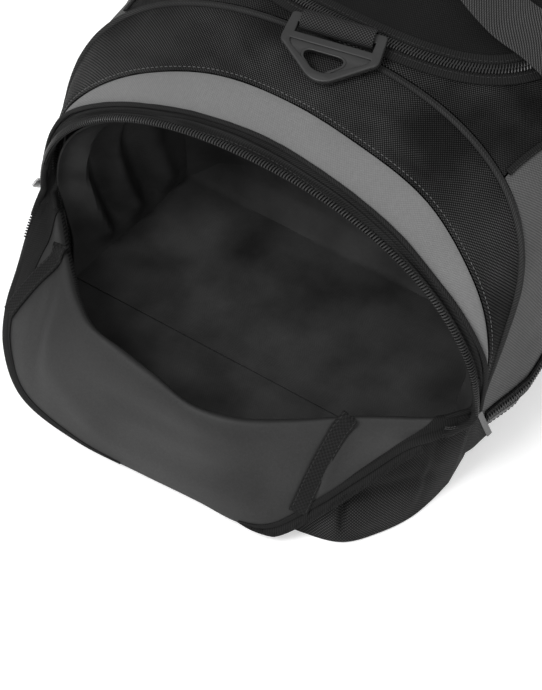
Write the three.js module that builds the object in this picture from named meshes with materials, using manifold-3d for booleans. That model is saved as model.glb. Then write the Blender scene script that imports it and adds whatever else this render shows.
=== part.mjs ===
import * as THREE from "three";
import { mergeVertices } from "three/addons/utils/BufferGeometryUtils.js";
import Module from "manifold-3d";

// Soft holdall: a zipped arch pocket hangs open at the near end, wheels sit at the far end.
// Millimetres, +Z up, near end towards -Y, origin at the middle of the base underside.

// Body
const LENGTH = 680;
const NEAR_Y = -LENGTH / 2;
const NEAR_HALF = 181.7;
const MID_HALF_SWELL = 9;
const NEAR_TOP = 245;
const FAR_TOP = 258;
const MID_TOP_SWELL = 48;
const WIDEST_Z = 149;
const FOOT_HALF = 166;
const CORNER_RADIUS = 14;
const ARCH_POWER = 2.5;
const ARCH_SHARE = 0.62;
const NEAR_SET = -3;
const NEAR_LEAN = 100.7;
const FAR_LEAN = 30;
const CLOTH = 2.2;
const GAP = 0.3;

// Girth shares, 0 at the top middle and 1 where the wall meets the base corner
const TRIM_GIRTH = 0.927;
const SHOULDER_GIRTH = 0.365;
const ZIP_GIRTH = 0.267;
const SEAM_GIRTH = 0.0013;
const SHOULDER_SEAM = 0.002;
const SEAM_RUN = 0.0005;
const PIPE_RUN = 0.006;

// Lid zip track, as shares of the run from the near seam to the far seam
const ZIP_FRONT = 0.03;
const ZIP_TURN = 0.19;
const ZIP_END = 0.972;
const SIDE_STEPS = 11;
const FRONT_STEPS = 14;
const LENGTH_STEPS = 12;

// Pocket arch in the near end
const ARCH_HALF = 181;
const ARCH_TOP = 215.4;
const ARCH_FOOT = 82.5;
const ARCH_ROUND = 2.2;
const ARCH_TILT = 4.4;
const ARCH_SIDE = -2;
const END_BULGE = 0.05;
const END_STEPS = 30;

// Small sections
const PIPE_RADIUS = 2.4;
const FOLD_RADIUS = 1.7;
const PIPE_SIDES = 6;
const PIPE_STEPS = 30;
const TAPE_HALF = 11;
const TAPE_THICK = 1;
const COIL_HALF = 3.4;
const COIL_HIGH = 2.2;
const TRIM_HALF = 4;
const TRIM_THICK = 1.2;
const SEAT = 0.7;

// Webbing
const HANDLE_WIDTH = 38;
const HANDLE_THICK = 2.2;
const LOOP_WIDTH = 52;
const LOOP_THICK = 2.3;
const LOOP_BORE = 4.8;

// Strap ring
const RING_THICK = 5;
const RING_BAR = 3.5;
const RING_HALF = 34;
const RING_TIP = 41;
const RING_YAW = THREE.MathUtils.degToRad(12);
const RING_DROP = THREE.MathUtils.degToRad(17);
const FAR_RING_DROP = THREE.MathUtils.degToRad(77);

// Wheels
const WHEEL_RADIUS = 32.2;
const WHEEL_Z = 32.5;
const WHEEL_X = 122;
const WHEEL_Y = LENGTH / 2 - 12.5;
const HUB_RADIUS = 22;
const TYRE_WIDTH = 26;
const PIN_RADIUS = 4;
const WELL_RADIUS = 36;
const WELL_WIDTH = 32;
const HOUSING_WALL = 4;
const ROUND_SIDES = 18;

// Dents (and swells, below zero) of the slack cloth: place along the run and girth, spans, depth
const DENTS = [
  { run: 0.2, girth: 0.79, runSpan: 0.15, girthSpan: 0.13, deep: -11 },
  { run: 0.6, girth: 0.77, runSpan: 0.26, girthSpan: 0.14, deep: -10 },
  { run: 0.2, girth: -0.79, runSpan: 0.15, girthSpan: 0.13, deep: -9 },
  { run: 0.6, girth: -0.77, runSpan: 0.26, girthSpan: 0.14, deep: -11 },
  { run: 0.1, girth: 0.31, runSpan: 0.05, girthSpan: 0.05, deep: 4 },
  { run: 0.12, girth: -0.32, runSpan: 0.06, girthSpan: 0.05, deep: 4 },
  { run: 0.3, girth: 0.1, runSpan: 0.16, girthSpan: 0.12, deep: 8 },
  { run: 0.66, girth: -0.12, runSpan: 0.18, girthSpan: 0.13, deep: 9 },
  { run: 0.85, girth: 0.4, runSpan: 0.08, girthSpan: 0.1, deep: 5 },
];

// Crescent band: place along the arch, its upper and lower edges between seam and zip
const CRESCENT = [
  { along: 0.0, upper: 0.66, lower: 0.66 },
  { along: 0.11, upper: 0.7, lower: 0.72 },
  { along: 0.15, upper: 0.69, lower: 0.76 },
  { along: 0.2, upper: 0.685, lower: 0.83 },
  { along: 0.3, upper: 0.625, lower: 0.872 },
  { along: 0.4, upper: 0.55, lower: 0.853 },
  { along: 0.5, upper: 0.538, lower: 0.83 },
  { along: 0.6, upper: 0.565, lower: 0.85 },
  { along: 0.7, upper: 0.56, lower: 0.856 },
  { along: 0.8, upper: 0.588, lower: 0.848 },
  { along: 0.875, upper: 0.545, lower: 0.735 },
  { along: 0.925, upper: 0.49, lower: 0.575 },
  { along: 0.955, upper: 0.5, lower: 0.52 },
  { along: 1.0, upper: 0.55, lower: 0.55 },
];

// Pocket front, left to right: foot on the floor, folded lip, hanging edge (y from the near end)
const POCKET = [
  { footX: -165.5, footY: -6, lipX: -176, lipY: 1.5, lipZ: 80, edgeX: -181, edgeY: -6, edgeZ: 80 },
  { footX: -164, footY: -28, lipX: -160, lipY: -15, lipZ: 84, edgeX: -176, edgeY: -23, edgeZ: 77 },
  { footX: -160, footY: -52, lipX: -137, lipY: -39, lipZ: 86, edgeX: -165, edgeY: -56, edgeZ: 62 },
  { footX: -150, footY: -72, lipX: -117, lipY: -58, lipZ: 85, edgeX: -157, edgeY: -82, edgeZ: 47 },
  { footX: -132, footY: -88, lipX: -100, lipY: -73, lipZ: 84, edgeX: -146, edgeY: -101, edgeZ: 32 },
  { footX: -104, footY: -97, lipX: -80, lipY: -85, lipZ: 82, edgeX: -118, edgeY: -120, edgeZ: 15 },
  { footX: -60, footY: -100, lipX: -50, lipY: -90, lipZ: 80, edgeX: -64, edgeY: -126, edgeZ: 7 },
  { footX: -15, footY: -101, lipX: -20, lipY: -94, lipZ: 78, edgeX: -15, edgeY: -124, edgeZ: 7 },
  { footX: 30, footY: -101, lipX: 18, lipY: -99, lipZ: 76, edgeX: 35, edgeY: -121, edgeZ: 7 },
  { footX: 72, footY: -100, lipX: 50, lipY: -91, lipZ: 76, edgeX: 70, edgeY: -121, edgeZ: 9 },
  { footX: 108, footY: -97, lipX: 80, lipY: -73, lipZ: 77, edgeX: 92, edgeY: -116, edgeZ: 14 },
  { footX: 134, footY: -89, lipX: 111, lipY: -50, lipZ: 79, edgeX: 114, edgeY: -95, edgeZ: 30 },
  { footX: 150, footY: -68, lipX: 133, lipY: -36, lipZ: 80, edgeX: 136, edgeY: -68, edgeZ: 52 },
  { footX: 160, footY: -46, lipX: 152, lipY: -25, lipZ: 81, edgeX: 154, edgeY: -44, edgeZ: 69 },
  { footX: 164, footY: -25, lipX: 164, lipY: -16, lipZ: 81, edgeX: 171, edgeY: -27, edgeZ: 77 },
  { footX: 165.5, footY: -6, lipX: 176, lipY: 1.5, lipZ: 80, edgeX: 181, edgeY: -6, edgeZ: 80 },
];
const POCKET_STEPS = 28;
const POCKET_ROWS = 10;
const POCKET_CLOTH = 1.6;
const LIP_RADIUS = 6;
const LIP_SHARE = 0.35;
const WALL_BULGE = 4;
const HANG_BULGE = 3;
const FLOOR_LIFT = 0.8;
const FLAP_ZIP_LOW = 2;
const FLAP_ZIP_END = 0.107;
const FLAP_ZIP_STEPS = 30;
const FLAP_TAPE = 11;

// Binding tapes on the hanging flap: place along the front and down the section, both ends
const BINDINGS = [
  { side: "left", topAlong: 0.155, topDown: 0.53, lowAlong: 0.2, lowDown: 0.93 },
  { side: "right", topAlong: 0.735, topDown: 0.53, lowAlong: 0.665, lowDown: 0.96 },
];
const BINDING_HALF = 6.5;
const BINDING_THICK = 1.2;
const BINDING_SEAT = 1;
const BINDING_STEPS = 10;

// Lining: depth behind the near end, half width, top, height of the widest level, foot, floor
const LINING = [
  { depth: 6, half: 173, top: 211, spring: 84, foot: 153, floor: 3 },
  { depth: 40, half: 168, top: 203, spring: 84, foot: 152, floor: 3 },
  { depth: 85, half: 161, top: 184, spring: 80, foot: 151, floor: 3 },
  { depth: 125, half: 151, top: 160, spring: 76, foot: 149, floor: 3.5 },
  { depth: 140, half: 128, top: 136, spring: 74, foot: 128, floor: 20 },
  { depth: 146, half: 62, top: 96, spring: 70, foot: 62, floor: 46 },
  { depth: 148, half: 0, top: 70, spring: 70, foot: 0, floor: 70 },
];
const LINING_CLOTH = 1.5;
const LINING_ARCH_STEPS = 14;
const LINING_SIDE_STEPS = 3;
const LINING_FLOOR_STEPS = 5;

// Side-pocket zip: distance from the near end and place round the girth, up to mid length
const SIDE_ZIP = [
  { y: 30, girth: 0.893 },
  { y: 52, girth: 0.876 },
  { y: 76, girth: 0.845 },
  { y: 100, girth: 0.79 },
  { y: 130, girth: 0.735 },
  { y: 170, girth: 0.685 },
  { y: 230, girth: 0.638 },
  { y: 285, girth: 0.612 },
  { y: LENGTH / 2, girth: 0.605 },
];
const SIDE_ZIP_STEPS = 22;
const SIDE_TAPE_HALF = 8;

const LID_MIDDLE = (NEAR_SET + NEAR_LEAN + LENGTH - FAR_LEAN) / 2;

// Carry handle, half of it: sewn tail, leg over the top, turn, grip. Twist 0 flat, 1 on edge
const HANDLE = [
  { x: 0, y: 168, z: 0, girth: 0.56, lift: 1, twist: 0 },
  { x: 0, y: 168, z: 0, girth: 0.47, lift: 1, twist: 0 },
  { x: 0, y: 168, z: 0, girth: 0.39, lift: 4, twist: 0 },
  { x: 0, y: 168, z: 0, girth: 0.31, lift: 7.5, twist: 0 },
  { x: 0, y: 168, z: 0, girth: 0.23, lift: 9, twist: 0 },
  { x: 0, y: 169, z: 0, girth: 0.16, lift: 11, twist: 0.03 },
  { x: 44, y: 176, z: 292, girth: 0, lift: 0, twist: 0.3 },
  { x: 29, y: 196, z: 309, girth: 0, lift: 0, twist: 0.75 },
  { x: 24, y: 228, z: 323, girth: 0, lift: 0, twist: 1 },
  { x: 23, y: 285, z: 332, girth: 0, lift: 0, twist: 1 },
  { x: 23, y: LID_MIDDLE, z: 335, girth: 0, lift: 0, twist: 1 },
];
const HANDLE_STEPS = 38;

const HALF_PI = Math.PI / 2;
const { lerp, clamp, smoothstep } = THREE.MathUtils;

const wasm = await Module();
wasm.setup();

const FINISH = {
  black: { color: 0x1d1d1e, roughness: 0.85, metalness: 0 },
  grey: { color: 0x4d4d4f, roughness: 0.8, metalness: 0 },
  pale: { color: 0x87888a, roughness: 0.75, metalness: 0 },
  coated: { color: 0x434346, roughness: 0.55, metalness: 0 },
  lining: { color: 0x0d0d0e, roughness: 0.9, metalness: 0 },
  webbing: { color: 0x232324, roughness: 0.8, metalness: 0 },
  coil: { color: 0x141414, roughness: 0.45, metalness: 0 },
  plastic: { color: 0x3a3a3c, roughness: 0.5, metalness: 0 },
  rubber: { color: 0x101010, roughness: 0.75, metalness: 0 },
  nickel: { color: 0xb8b8ba, roughness: 0.3, metalness: 1 },
};

function piece(name, geometry, finish) {
  const mesh = new THREE.Mesh(geometry, new THREE.MeshStandardMaterial(FINISH[finish]));
  mesh.name = name;
  return mesh;
}

// Closed triangle list as a geometry, turned so that its faces point out.
function closed(triangles) {
  const corners = triangles.filter(([a, b, c]) => {
    const area = new THREE.Triangle(a, b, c).getArea();
    return area > 1e-7;
  });
  let volume = 0;
  for (const [a, b, c] of corners) volume += a.dot(b.clone().cross(c));
  const flat = [];
  for (const [a, b, c] of corners) {
    const ordered = volume < 0 ? [a, c, b] : [a, b, c];
    for (const p of ordered) flat.push(p.x, p.y, p.z);
  }
  const geometry = new THREE.BufferGeometry();
  geometry.setAttribute("position", new THREE.Float32BufferAttribute(flat, 3));
  const merged = mergeVertices(geometry, 1e-4);
  merged.computeVertexNormals();
  return merged;
}

function grid(rows, columns, at) {
  const points = [];
  for (let r = 0; r <= rows; r += 1) {
    const row = [];
    for (let c = 0; c <= columns; c += 1) row.push(at(r / rows, c / columns));
    points.push(row);
  }
  return points;
}

function quad(list, a, b, c, d) {
  list.push([a, b, c], [a, c, d]);
}

// Wall between two matching grids. A ring wall has no side edges: its columns meet.
function wall(outer, inner, ring = false) {
  const faces = [];
  const rows = outer.length - 1;
  const columns = outer[0].length - 1;
  for (let r = 0; r < rows; r += 1) {
    for (let c = 0; c < columns; c += 1) {
      const [a, b] = [outer[r][c], outer[r][c + 1]];
      const [d, e] = [outer[r + 1][c], outer[r + 1][c + 1]];
      quad(faces, a, b, e, d);
      const [f, g] = [inner[r][c], inner[r][c + 1]];
      const [h, i] = [inner[r + 1][c], inner[r + 1][c + 1]];
      faces.push([f, i, g], [f, h, i]);
    }
  }
  for (let c = 0; c < columns; c += 1) {
    quad(faces, inner[0][c], inner[0][c + 1], outer[0][c + 1], outer[0][c]);
    quad(faces, outer[rows][c], outer[rows][c + 1], inner[rows][c + 1], inner[rows][c]);
  }
  if (!ring) {
    for (let r = 0; r < rows; r += 1) {
      quad(faces, outer[r][0], outer[r + 1][0], inner[r + 1][0], inner[r][0]);
      quad(faces, inner[r][columns], inner[r + 1][columns], outer[r + 1][columns], outer[r][columns]);
    }
  }
  return closed(faces);
}

// The grid moved along its own normals, columns crossed with rows.
function moved(points, distance) {
  const rows = points.length - 1;
  const columns = points[0].length - 1;
  return points.map((row, r) =>
    row.map((p, c) => {
      const along = row[Math.min(c + 1, columns)].clone().sub(row[Math.max(c - 1, 0)]);
      const down = points[Math.min(r + 1, rows)][c].clone().sub(points[Math.max(r - 1, 0)][c]);
      return p.clone().addScaledVector(along.cross(down).normalize(), distance);
    }),
  );
}

function cloth(points, thickness) {
  return wall(points, moved(points, thickness));
}

// A section of [side, height] corners carried along frames of point, side and up.
function swept(frames, corners) {
  const drawn = corners.map(([s, h]) => new THREE.Vector2(s, h));
  const outline = THREE.ShapeUtils.isClockWise(drawn) ? drawn.reverse() : drawn;
  const rings = frames.map(({ point, side, up }) =>
    outline.map((q) => point.clone().addScaledVector(side, q.x).addScaledVector(up, q.y)),
  );
  const faces = [];
  const count = outline.length;
  const last = rings.length - 1;
  for (let r = 0; r < last; r += 1) {
    for (let c = 0; c < count; c += 1) {
      const next = (c + 1) % count;
      quad(faces, rings[r + 1][c], rings[r + 1][next], rings[r][next], rings[r][c]);
    }
  }
  for (const [i, j, k] of THREE.ShapeUtils.triangulateShape(outline, [])) {
    const turned = THREE.ShapeUtils.area([outline[i], outline[j], outline[k]]) < 0;
    const head = turned ? [i, k, j] : [i, j, k];
    faces.push(head.map((corner) => rings[0][corner]));
    faces.push(head.toReversed().map((corner) => rings[last][corner]));
  }
  return closed(faces);
}

function framesAlong(points, ups) {
  const last = points.length - 1;
  return points.map((point, i) => {
    const tangent = points[Math.min(i + 1, last)].clone().sub(points[Math.max(i - 1, 0)]);
    tangent.normalize();
    const side = tangent.clone().cross(ups[i]).normalize();
    const up = side.clone().cross(tangent).normalize();
    return { point, side, up };
  });
}

function disc(radius) {
  const corners = [];
  for (let i = 0; i < PIPE_SIDES; i += 1) {
    const angle = (i * 2 * Math.PI) / PIPE_SIDES;
    corners.push([radius * Math.cos(angle), radius * Math.sin(angle)]);
  }
  return corners;
}

function tapeWithCoil(half) {
  const face = SEAT + TAPE_THICK;
  return [
    [-half, SEAT],
    [half, SEAT],
    [half, face],
    [COIL_HALF, face],
    [COIL_HALF / 2, face + COIL_HIGH],
    [-COIL_HALF / 2, face + COIL_HIGH],
    [-COIL_HALF, face],
    [-half, face],
  ];
}

function band(half, low, thickness) {
  return [
    [-half, low],
    [half, low],
    [half, low + thickness],
    [-half, low + thickness],
  ];
}

// Cross-section of the body: an arch above its widest level, a leaning wall below it.
function profile(half, top, girth) {
  const share = Math.abs(girth);
  const power = 2 / ARCH_POWER;
  const right = girth < 0 ? -1 : 1;
  if (share <= ARCH_SHARE) {
    const angle = (1 - share / ARCH_SHARE) * HALF_PI;
    const x = half * Math.max(Math.cos(angle), 0) ** power;
    const z = WIDEST_Z + (top - WIDEST_Z) * Math.sin(angle) ** power;
    return { x: right * x, z };
  }
  const rise = (1 - share) / (1 - ARCH_SHARE);
  const x = FOOT_HALF + (half - FOOT_HALF) * Math.sin(rise * HALF_PI);
  return { x: right * x, z: lerp(CORNER_RADIUS, WIDEST_Z, rise) };
}

function dentDepth(run, girth) {
  return DENTS.reduce((sum, dent) => {
    const a = (run - dent.run) / dent.runSpan;
    const b = (girth - dent.girth) / dent.girthSpan;
    return sum + dent.deep * Math.exp(-(a * a) - b * b);
  }, 0);
}

function runEnds(girth) {
  const near = profile(NEAR_HALF, NEAR_TOP, girth).z / NEAR_TOP;
  const far = profile(NEAR_HALF, FAR_TOP, girth).z / FAR_TOP;
  return { near: NEAR_SET + NEAR_LEAN * near * near, far: LENGTH - FAR_LEAN * far * far };
}

// Point of the body's outside: run 0 at the near seam, 1 at the far seam.
function body(run, girth) {
  const swell = Math.sin(Math.PI * clamp(run, 0, 1));
  const half = NEAR_HALF + MID_HALF_SWELL * swell;
  const top = lerp(NEAR_TOP, FAR_TOP, run) + MID_TOP_SWELL * swell;
  const at = profile(half, top, girth);
  const { near, far } = runEnds(girth);
  const inward = dentDepth(run, girth) * clamp(swell * 4, 0, 1);
  const lean = new THREE.Vector2(at.x / half, (at.z - WIDEST_Z / 2) / top).normalize();
  return new THREE.Vector3(
    at.x - lean.x * inward,
    NEAR_Y + lerp(near, far, run),
    at.z - lean.y * inward,
  );
}

function runAt(y, girth) {
  const { near, far } = runEnds(girth);
  return (y - near) / (far - near);
}

const NORMAL_STEP = 0.004;

function bodyNormal(run, girth) {
  const across = body(run, girth + NORMAL_STEP).sub(body(run, girth - NORMAL_STEP));
  const along = body(run + NORMAL_STEP, girth).sub(body(run - NORMAL_STEP, girth));
  return across.cross(along).normalize();
}

function onBody(track, section) {
  const points = track.map(([run, girth]) => body(run, girth));
  const ups = track.map(([run, girth]) => bodyNormal(run, girth));
  return swept(framesAlong(points, ups), section);
}

function steps(count, at) {
  return Array.from({ length: count + 1 }, (_, i) => at(i / count));
}

// Lid zip: along the left side, round the front, along the right side.
const FRONT_TURN = steps(FRONT_STEPS, (s) => lerp(-HALF_PI, HALF_PI, s));

function lidFront(angle, shift = 0) {
  const front = ZIP_FRONT + shift;
  return ZIP_TURN - (ZIP_TURN - front) * Math.cos(angle);
}

function zipTrack(end) {
  const sides = steps(SIDE_STEPS, (s) => lerp(end, ZIP_TURN, s));
  const left = sides.map((run) => [run, -ZIP_GIRTH]);
  const front = FRONT_TURN.slice(1, -1).map((a) => [lidFront(a), ZIP_GIRTH * Math.sin(a)]);
  const right = sides.toReversed().map((run) => [run, ZIP_GIRTH]);
  return [...left, ...front, ...right];
}

// Outer rim of the yoke beside the same track: along the shoulders and across the near seam.
function yokeRim(track) {
  const limit = SHOULDER_GIRTH - SHOULDER_SEAM;
  const turns = FRONT_TURN.slice(1, -1);
  const front = turns.map((angle) => {
    const share = clamp(angle / (HALF_PI / 2), -2, 2);
    const beyond = Math.max(Math.abs(share) - 1, 0);
    return [lerp(PIPE_RUN, ZIP_TURN, beyond), limit * clamp(share, -1, 1)];
  });
  const before = SIDE_STEPS + 1;
  return track.map(([run, girth], i) => {
    const place = i - before;
    if (place >= 0 && place < front.length) return front[place];
    return [run, Math.sign(girth) * limit];
  });
}

function yokePanel() {
  const track = zipTrack(1 - PIPE_RUN);
  const rim = yokeRim(track);
  const inner = track.map(([run, girth], i) => {
    const front = i > SIDE_STEPS && i < track.length - SIDE_STEPS - 1;
    const out = 1 + SEAM_GIRTH / ZIP_GIRTH;
    return [front ? run - SEAM_RUN : run, girth * out];
  });
  const count = track.length - 1;
  const points = grid(3, count, (r, c) => {
    const i = Math.round(c * count);
    const run = lerp(rim[i][0], inner[i][0], r);
    return body(run, lerp(rim[i][1], inner[i][1], r));
  });
  return cloth(points, -CLOTH);
}

function lidPanel() {
  const limit = ZIP_GIRTH - SEAM_GIRTH;
  const points = grid(SIDE_STEPS, FRONT_STEPS, (r, c) => {
    const angle = lerp(-HALF_PI, HALF_PI, c);
    const front = lidFront(angle, SEAM_RUN) + SEAM_RUN;
    return body(lerp(front, 1 - PIPE_RUN, r), limit * Math.sin(angle));
  });
  return cloth(points, -CLOTH);
}

function sidePanel(right) {
  const [low, high] = [TRIM_GIRTH - SEAM_GIRTH, SHOULDER_GIRTH + SHOULDER_SEAM];
  const points = grid(LENGTH_STEPS, 6, (r, c) => {
    const run = lerp(PIPE_RUN, 1 - PIPE_RUN, r);
    return body(run, right * lerp(high, low, c));
  });
  return cloth(points, -CLOTH * right);
}

function baseSection(run) {
  const { y } = body(run, 1);
  const points = steps(3, (s) => body(run, -lerp(TRIM_GIRTH + SEAM_GIRTH, 1, s)));
  const middle = FOOT_HALF - CORNER_RADIUS;
  for (const share of [1, 2, 3]) {
    const angle = (share * HALF_PI) / 3;
    const x = -middle - CORNER_RADIUS * Math.cos(angle);
    points.push(new THREE.Vector3(x, y, CORNER_RADIUS * (1 - Math.sin(angle))));
  }
  points.push(new THREE.Vector3(0, y, 0));
  const mirrored = points.slice(0, -1).toReversed();
  const right = mirrored.map((p) => new THREE.Vector3(-p.x, p.y, p.z));
  return [...points, ...right];
}

function basePanel() {
  const points = steps(LENGTH_STEPS, (s) => baseSection(lerp(PIPE_RUN, 1 - PIPE_RUN, s)));
  return cloth(points, CLOTH);
}

// Far end: a slightly swollen panel between the far seam and the base.
const FAR_GIRTH = 0.97;
const FAR_BASE_Z = CLOTH + GAP;
const FAR_SWELL = 14;

function farRim(girth) {
  const rim = body(1, girth);
  const along = body(1, girth + NORMAL_STEP).sub(body(1, girth - NORMAL_STEP)).normalize();
  const inward = along.cross(new THREE.Vector3(0, -1, 0)).normalize();
  return rim.addScaledVector(inward, PIPE_RADIUS + 2 * GAP);
}

function farPanel() {
  const reach = FOOT_HALF - CORNER_RADIUS / 2;
  const points = grid(4, 18, (r, c) => {
    const rim = farRim(lerp(-FAR_GIRTH, FAR_GIRTH, c));
    const base = new THREE.Vector3(lerp(-reach, reach, c), NEAR_Y + LENGTH, FAR_BASE_Z);
    const point = rim.lerp(base, r);
    point.y += FAR_SWELL * Math.sin(Math.PI * r) * Math.sin(Math.PI * c);
    return point;
  });
  return cloth(points, CLOTH);
}

function seamPipe(run, low) {
  const track = steps(PIPE_STEPS, (s) => body(run, lerp(-low, low, s)));
  const ups = track.map(() => new THREE.Vector3(0, 1, 0));
  return swept(framesAlong(track, ups), disc(PIPE_RADIUS));
}

// Near end: a roof between the end seam and the pocket's zip arch.
const ARCH_GIRTH = 1 - ((1 - ARCH_SHARE) * (ARCH_FOOT - CORNER_RADIUS)) / (WIDEST_Z - CORNER_RADIUS);
const ARCH_SAMPLES = 80;
const END_LOW = 0.03;
const EDGE_GAP = 0.9;

const seamArch = new THREE.CatmullRomCurve3(
  steps(ARCH_SAMPLES, (s) => body(0, lerp(-ARCH_GIRTH, ARCH_GIRTH, s))),
);

const zipArch = new THREE.CatmullRomCurve3(
  steps(ARCH_SAMPLES, (s) => {
    const angle = Math.PI * s;
    const power = 2 / ARCH_ROUND;
    const level = Math.max(Math.sin(angle), 0) ** power;
    const across = -Math.sign(Math.cos(angle)) * Math.abs(Math.cos(angle)) ** power;
    const y = ARCH_TILT * level * level + ARCH_SIDE * across * across;
    return new THREE.Vector3(
      ARCH_HALF * across,
      NEAR_Y + y,
      lerp(ARCH_FOOT, ARCH_TOP, level),
    );
  }),
);

function endFrame(along) {
  const seam = seamArch.getPointAt(along);
  const zip = zipArch.getPointAt(along);
  const slope = zip.clone().sub(seam);
  const width = slope.length();
  const out = slope.clone().cross(seamArch.getTangentAt(along)).normalize();
  return { seam, zip, width, out, slope: slope.normalize() };
}

function endPoint(along, share) {
  const { seam, zip, width, out } = endFrame(along);
  const bulge = END_BULGE * width * Math.sin(Math.PI * share);
  return seam.lerp(zip, share).addScaledVector(out, bulge);
}

function crescentEdge(along, edge) {
  const next = CRESCENT.findIndex((row) => row.along >= along);
  const after = CRESCENT[Math.max(next, 1)];
  const before = CRESCENT[Math.max(next, 1) - 1];
  const share = (along - before.along) / (after.along - before.along);
  return lerp(before[edge], after[edge], smoothstep(share, 0, 1));
}

function endPatch(from, to, rows, top, low) {
  const points = grid(rows, END_STEPS, (r, c) => {
    const along = lerp(from, to, c);
    const { width } = endFrame(along);
    return endPoint(along, lerp(top(along, width), low(along, width), r));
  });
  return cloth(points, CLOTH);
}

const upperEdge = (along) => crescentEdge(along, "upper");
const lowerEdge = (along) => crescentEdge(along, "lower");
const CRESCENT_FROM = 0.115;
const CRESCENT_TO = 0.952;

function endPanel() {
  const top = (along, width) => (PIPE_RADIUS * 1.6 + GAP) / width;
  const low = (along, width) => upperEdge(along) - EDGE_GAP / width;
  return endPatch(END_LOW, 1 - END_LOW, 3, top, low);
}

function crescentBand() {
  return endPatch(CRESCENT_FROM, CRESCENT_TO, 2, upperEdge, lowerEdge);
}

function pocketRim() {
  const top = (along, width) => lowerEdge(along) + EDGE_GAP / width;
  return endPatch(END_LOW, 1 - END_LOW, 2, top, () => 1);
}

function rimFold() {
  const frames = steps(END_STEPS, (s) => {
    const along = lerp(END_LOW, 1 - END_LOW, s);
    const { width, out, slope } = endFrame(along);
    const share = lowerEdge(along) + (FOLD_RADIUS + GAP) / width;
    const point = endPoint(along, share).addScaledVector(out, FOLD_RADIUS + GAP);
    return { point, side: slope, up: out };
  });
  return swept(frames, disc(FOLD_RADIUS));
}

function rimCoil() {
  const frames = steps(END_STEPS, (s) => {
    const along = lerp(END_LOW, 1 - END_LOW, s);
    const { zip, out, slope } = endFrame(along);
    return { point: zip, side: slope, up: out };
  });
  return swept(frames, [
    [GAP, -CLOTH],
    [GAP + COIL_HALF, -CLOTH],
    [GAP + COIL_HALF, TAPE_THICK],
    [GAP, TAPE_THICK],
  ]);
}

// Pocket front: up from its foot, over the lip, down to its hanging edge.
function pocketRow(row) {
  const foot = new THREE.Vector3(row.footX, NEAR_Y + row.footY, FLOOR_LIFT);
  const lip = new THREE.Vector3(row.lipX, NEAR_Y + row.lipY, row.lipZ);
  const edge = new THREE.Vector3(row.edgeX, NEAR_Y + row.edgeY, row.edgeZ);
  const out = edge.clone().sub(lip).setZ(0).normalize();
  const radius = Math.min(LIP_RADIUS, LIP_SHARE * lip.distanceTo(edge));
  const down = new THREE.Vector3(0, 0, -radius);
  const inside = lip.clone().addScaledVector(out, -radius).add(down);
  const outside = lip.clone().addScaledVector(out, radius).addScaledVector(down, 0.7);
  const bulged = (a, b, share, by) => a.clone().lerp(b, share).addScaledVector(out, by);
  return [
    foot,
    bulged(foot, inside, 0.33, WALL_BULGE),
    bulged(foot, inside, 0.67, WALL_BULGE),
    inside,
    lip,
    outside,
    bulged(outside, edge, 0.33, HANG_BULGE),
    bulged(outside, edge, 0.67, HANG_BULGE),
    edge,
  ];
}

const pocketRows = POCKET.map(pocketRow);
const pocketLines = pocketRows[0].map(
  (_, i) => new THREE.CatmullRomCurve3(pocketRows.map((row) => row[i])),
);

function pocketPoint(along, down) {
  const section = pocketLines.map((line) => line.getPoint(along));
  return new THREE.CatmullRomCurve3(section).getPoint(down);
}

const POCKET_DELTA = 0.01;

function pocketFrame(along, down) {
  const ahead = pocketPoint(Math.min(along + POCKET_DELTA, 1), down);
  const across = ahead.sub(pocketPoint(Math.max(along - POCKET_DELTA, 0), down));
  const low = pocketPoint(along, Math.min(down + POCKET_DELTA, 1));
  const fall = low.sub(pocketPoint(along, Math.max(down - POCKET_DELTA, 0))).normalize();
  const face = fall.clone().cross(across).normalize();
  return { point: pocketPoint(along, down), fall, face };
}

function pocketFront() {
  return cloth(grid(POCKET_ROWS, POCKET_STEPS, (r, c) => pocketPoint(c, r)), POCKET_CLOTH);
}

function pocketFloor() {
  const inset = POCKET_CLOTH * 0.9;
  const front = POCKET.map((row) => {
    const reach = 1 - inset / Math.hypot(row.footX, row.footY);
    return new THREE.Vector2(row.footX * reach, row.footY + inset);
  });
  const back = FOOT_HALF - 2 * CORNER_RADIUS;
  const hinge = [new THREE.Vector2(back, 3 * GAP), new THREE.Vector2(-back, 3 * GAP)];
  const shape = new THREE.Shape([...front, ...hinge]);
  const geometry = new THREE.ExtrudeGeometry(shape, { depth: POCKET_CLOTH, bevelEnabled: false });
  return geometry.translate(0, NEAR_Y, FLOOR_LIFT);
}

function flapZip() {
  const stations = steps(FLAP_ZIP_STEPS, (s) => lerp(FLAP_ZIP_END, 1 - FLAP_ZIP_END, s));
  const frames = stations.map((along) => {
    const { point, fall } = pocketFrame(along, 1);
    const tangent = pocketPoint(Math.min(along + POCKET_DELTA, 1), 1);
    tangent.sub(pocketPoint(Math.max(along - POCKET_DELTA, 0), 1)).normalize();
    const side = fall.addScaledVector(tangent, -fall.dot(tangent)).normalize();
    const up = tangent.cross(side).normalize();
    const room = (point.z - FLAP_ZIP_LOW) / Math.max(-side.z, GAP);
    side.multiplyScalar(clamp(room / (EDGE_GAP + FLAP_TAPE + COIL_HALF), 0, 1));
    return { point, side, up };
  });
  const start = EDGE_GAP;
  const end = start + FLAP_TAPE + COIL_HALF;
  return swept(frames, [
    [start, -TAPE_THICK],
    [end, -TAPE_THICK],
    [end, TAPE_THICK / 2],
    [start, TAPE_THICK / 2],
  ]);
}

function binding(row) {
  const path = steps(BINDING_STEPS, (s) => {
    const along = lerp(row.topAlong, row.lowAlong, s);
    return pocketFrame(along, lerp(row.topDown, row.lowDown, s));
  });
  const points = path.map(({ point }) => point);
  const faces = path.map(({ face }) => face);
  return swept(framesAlong(points, faces), band(BINDING_HALF, BINDING_SEAT, BINDING_THICK));
}

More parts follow.
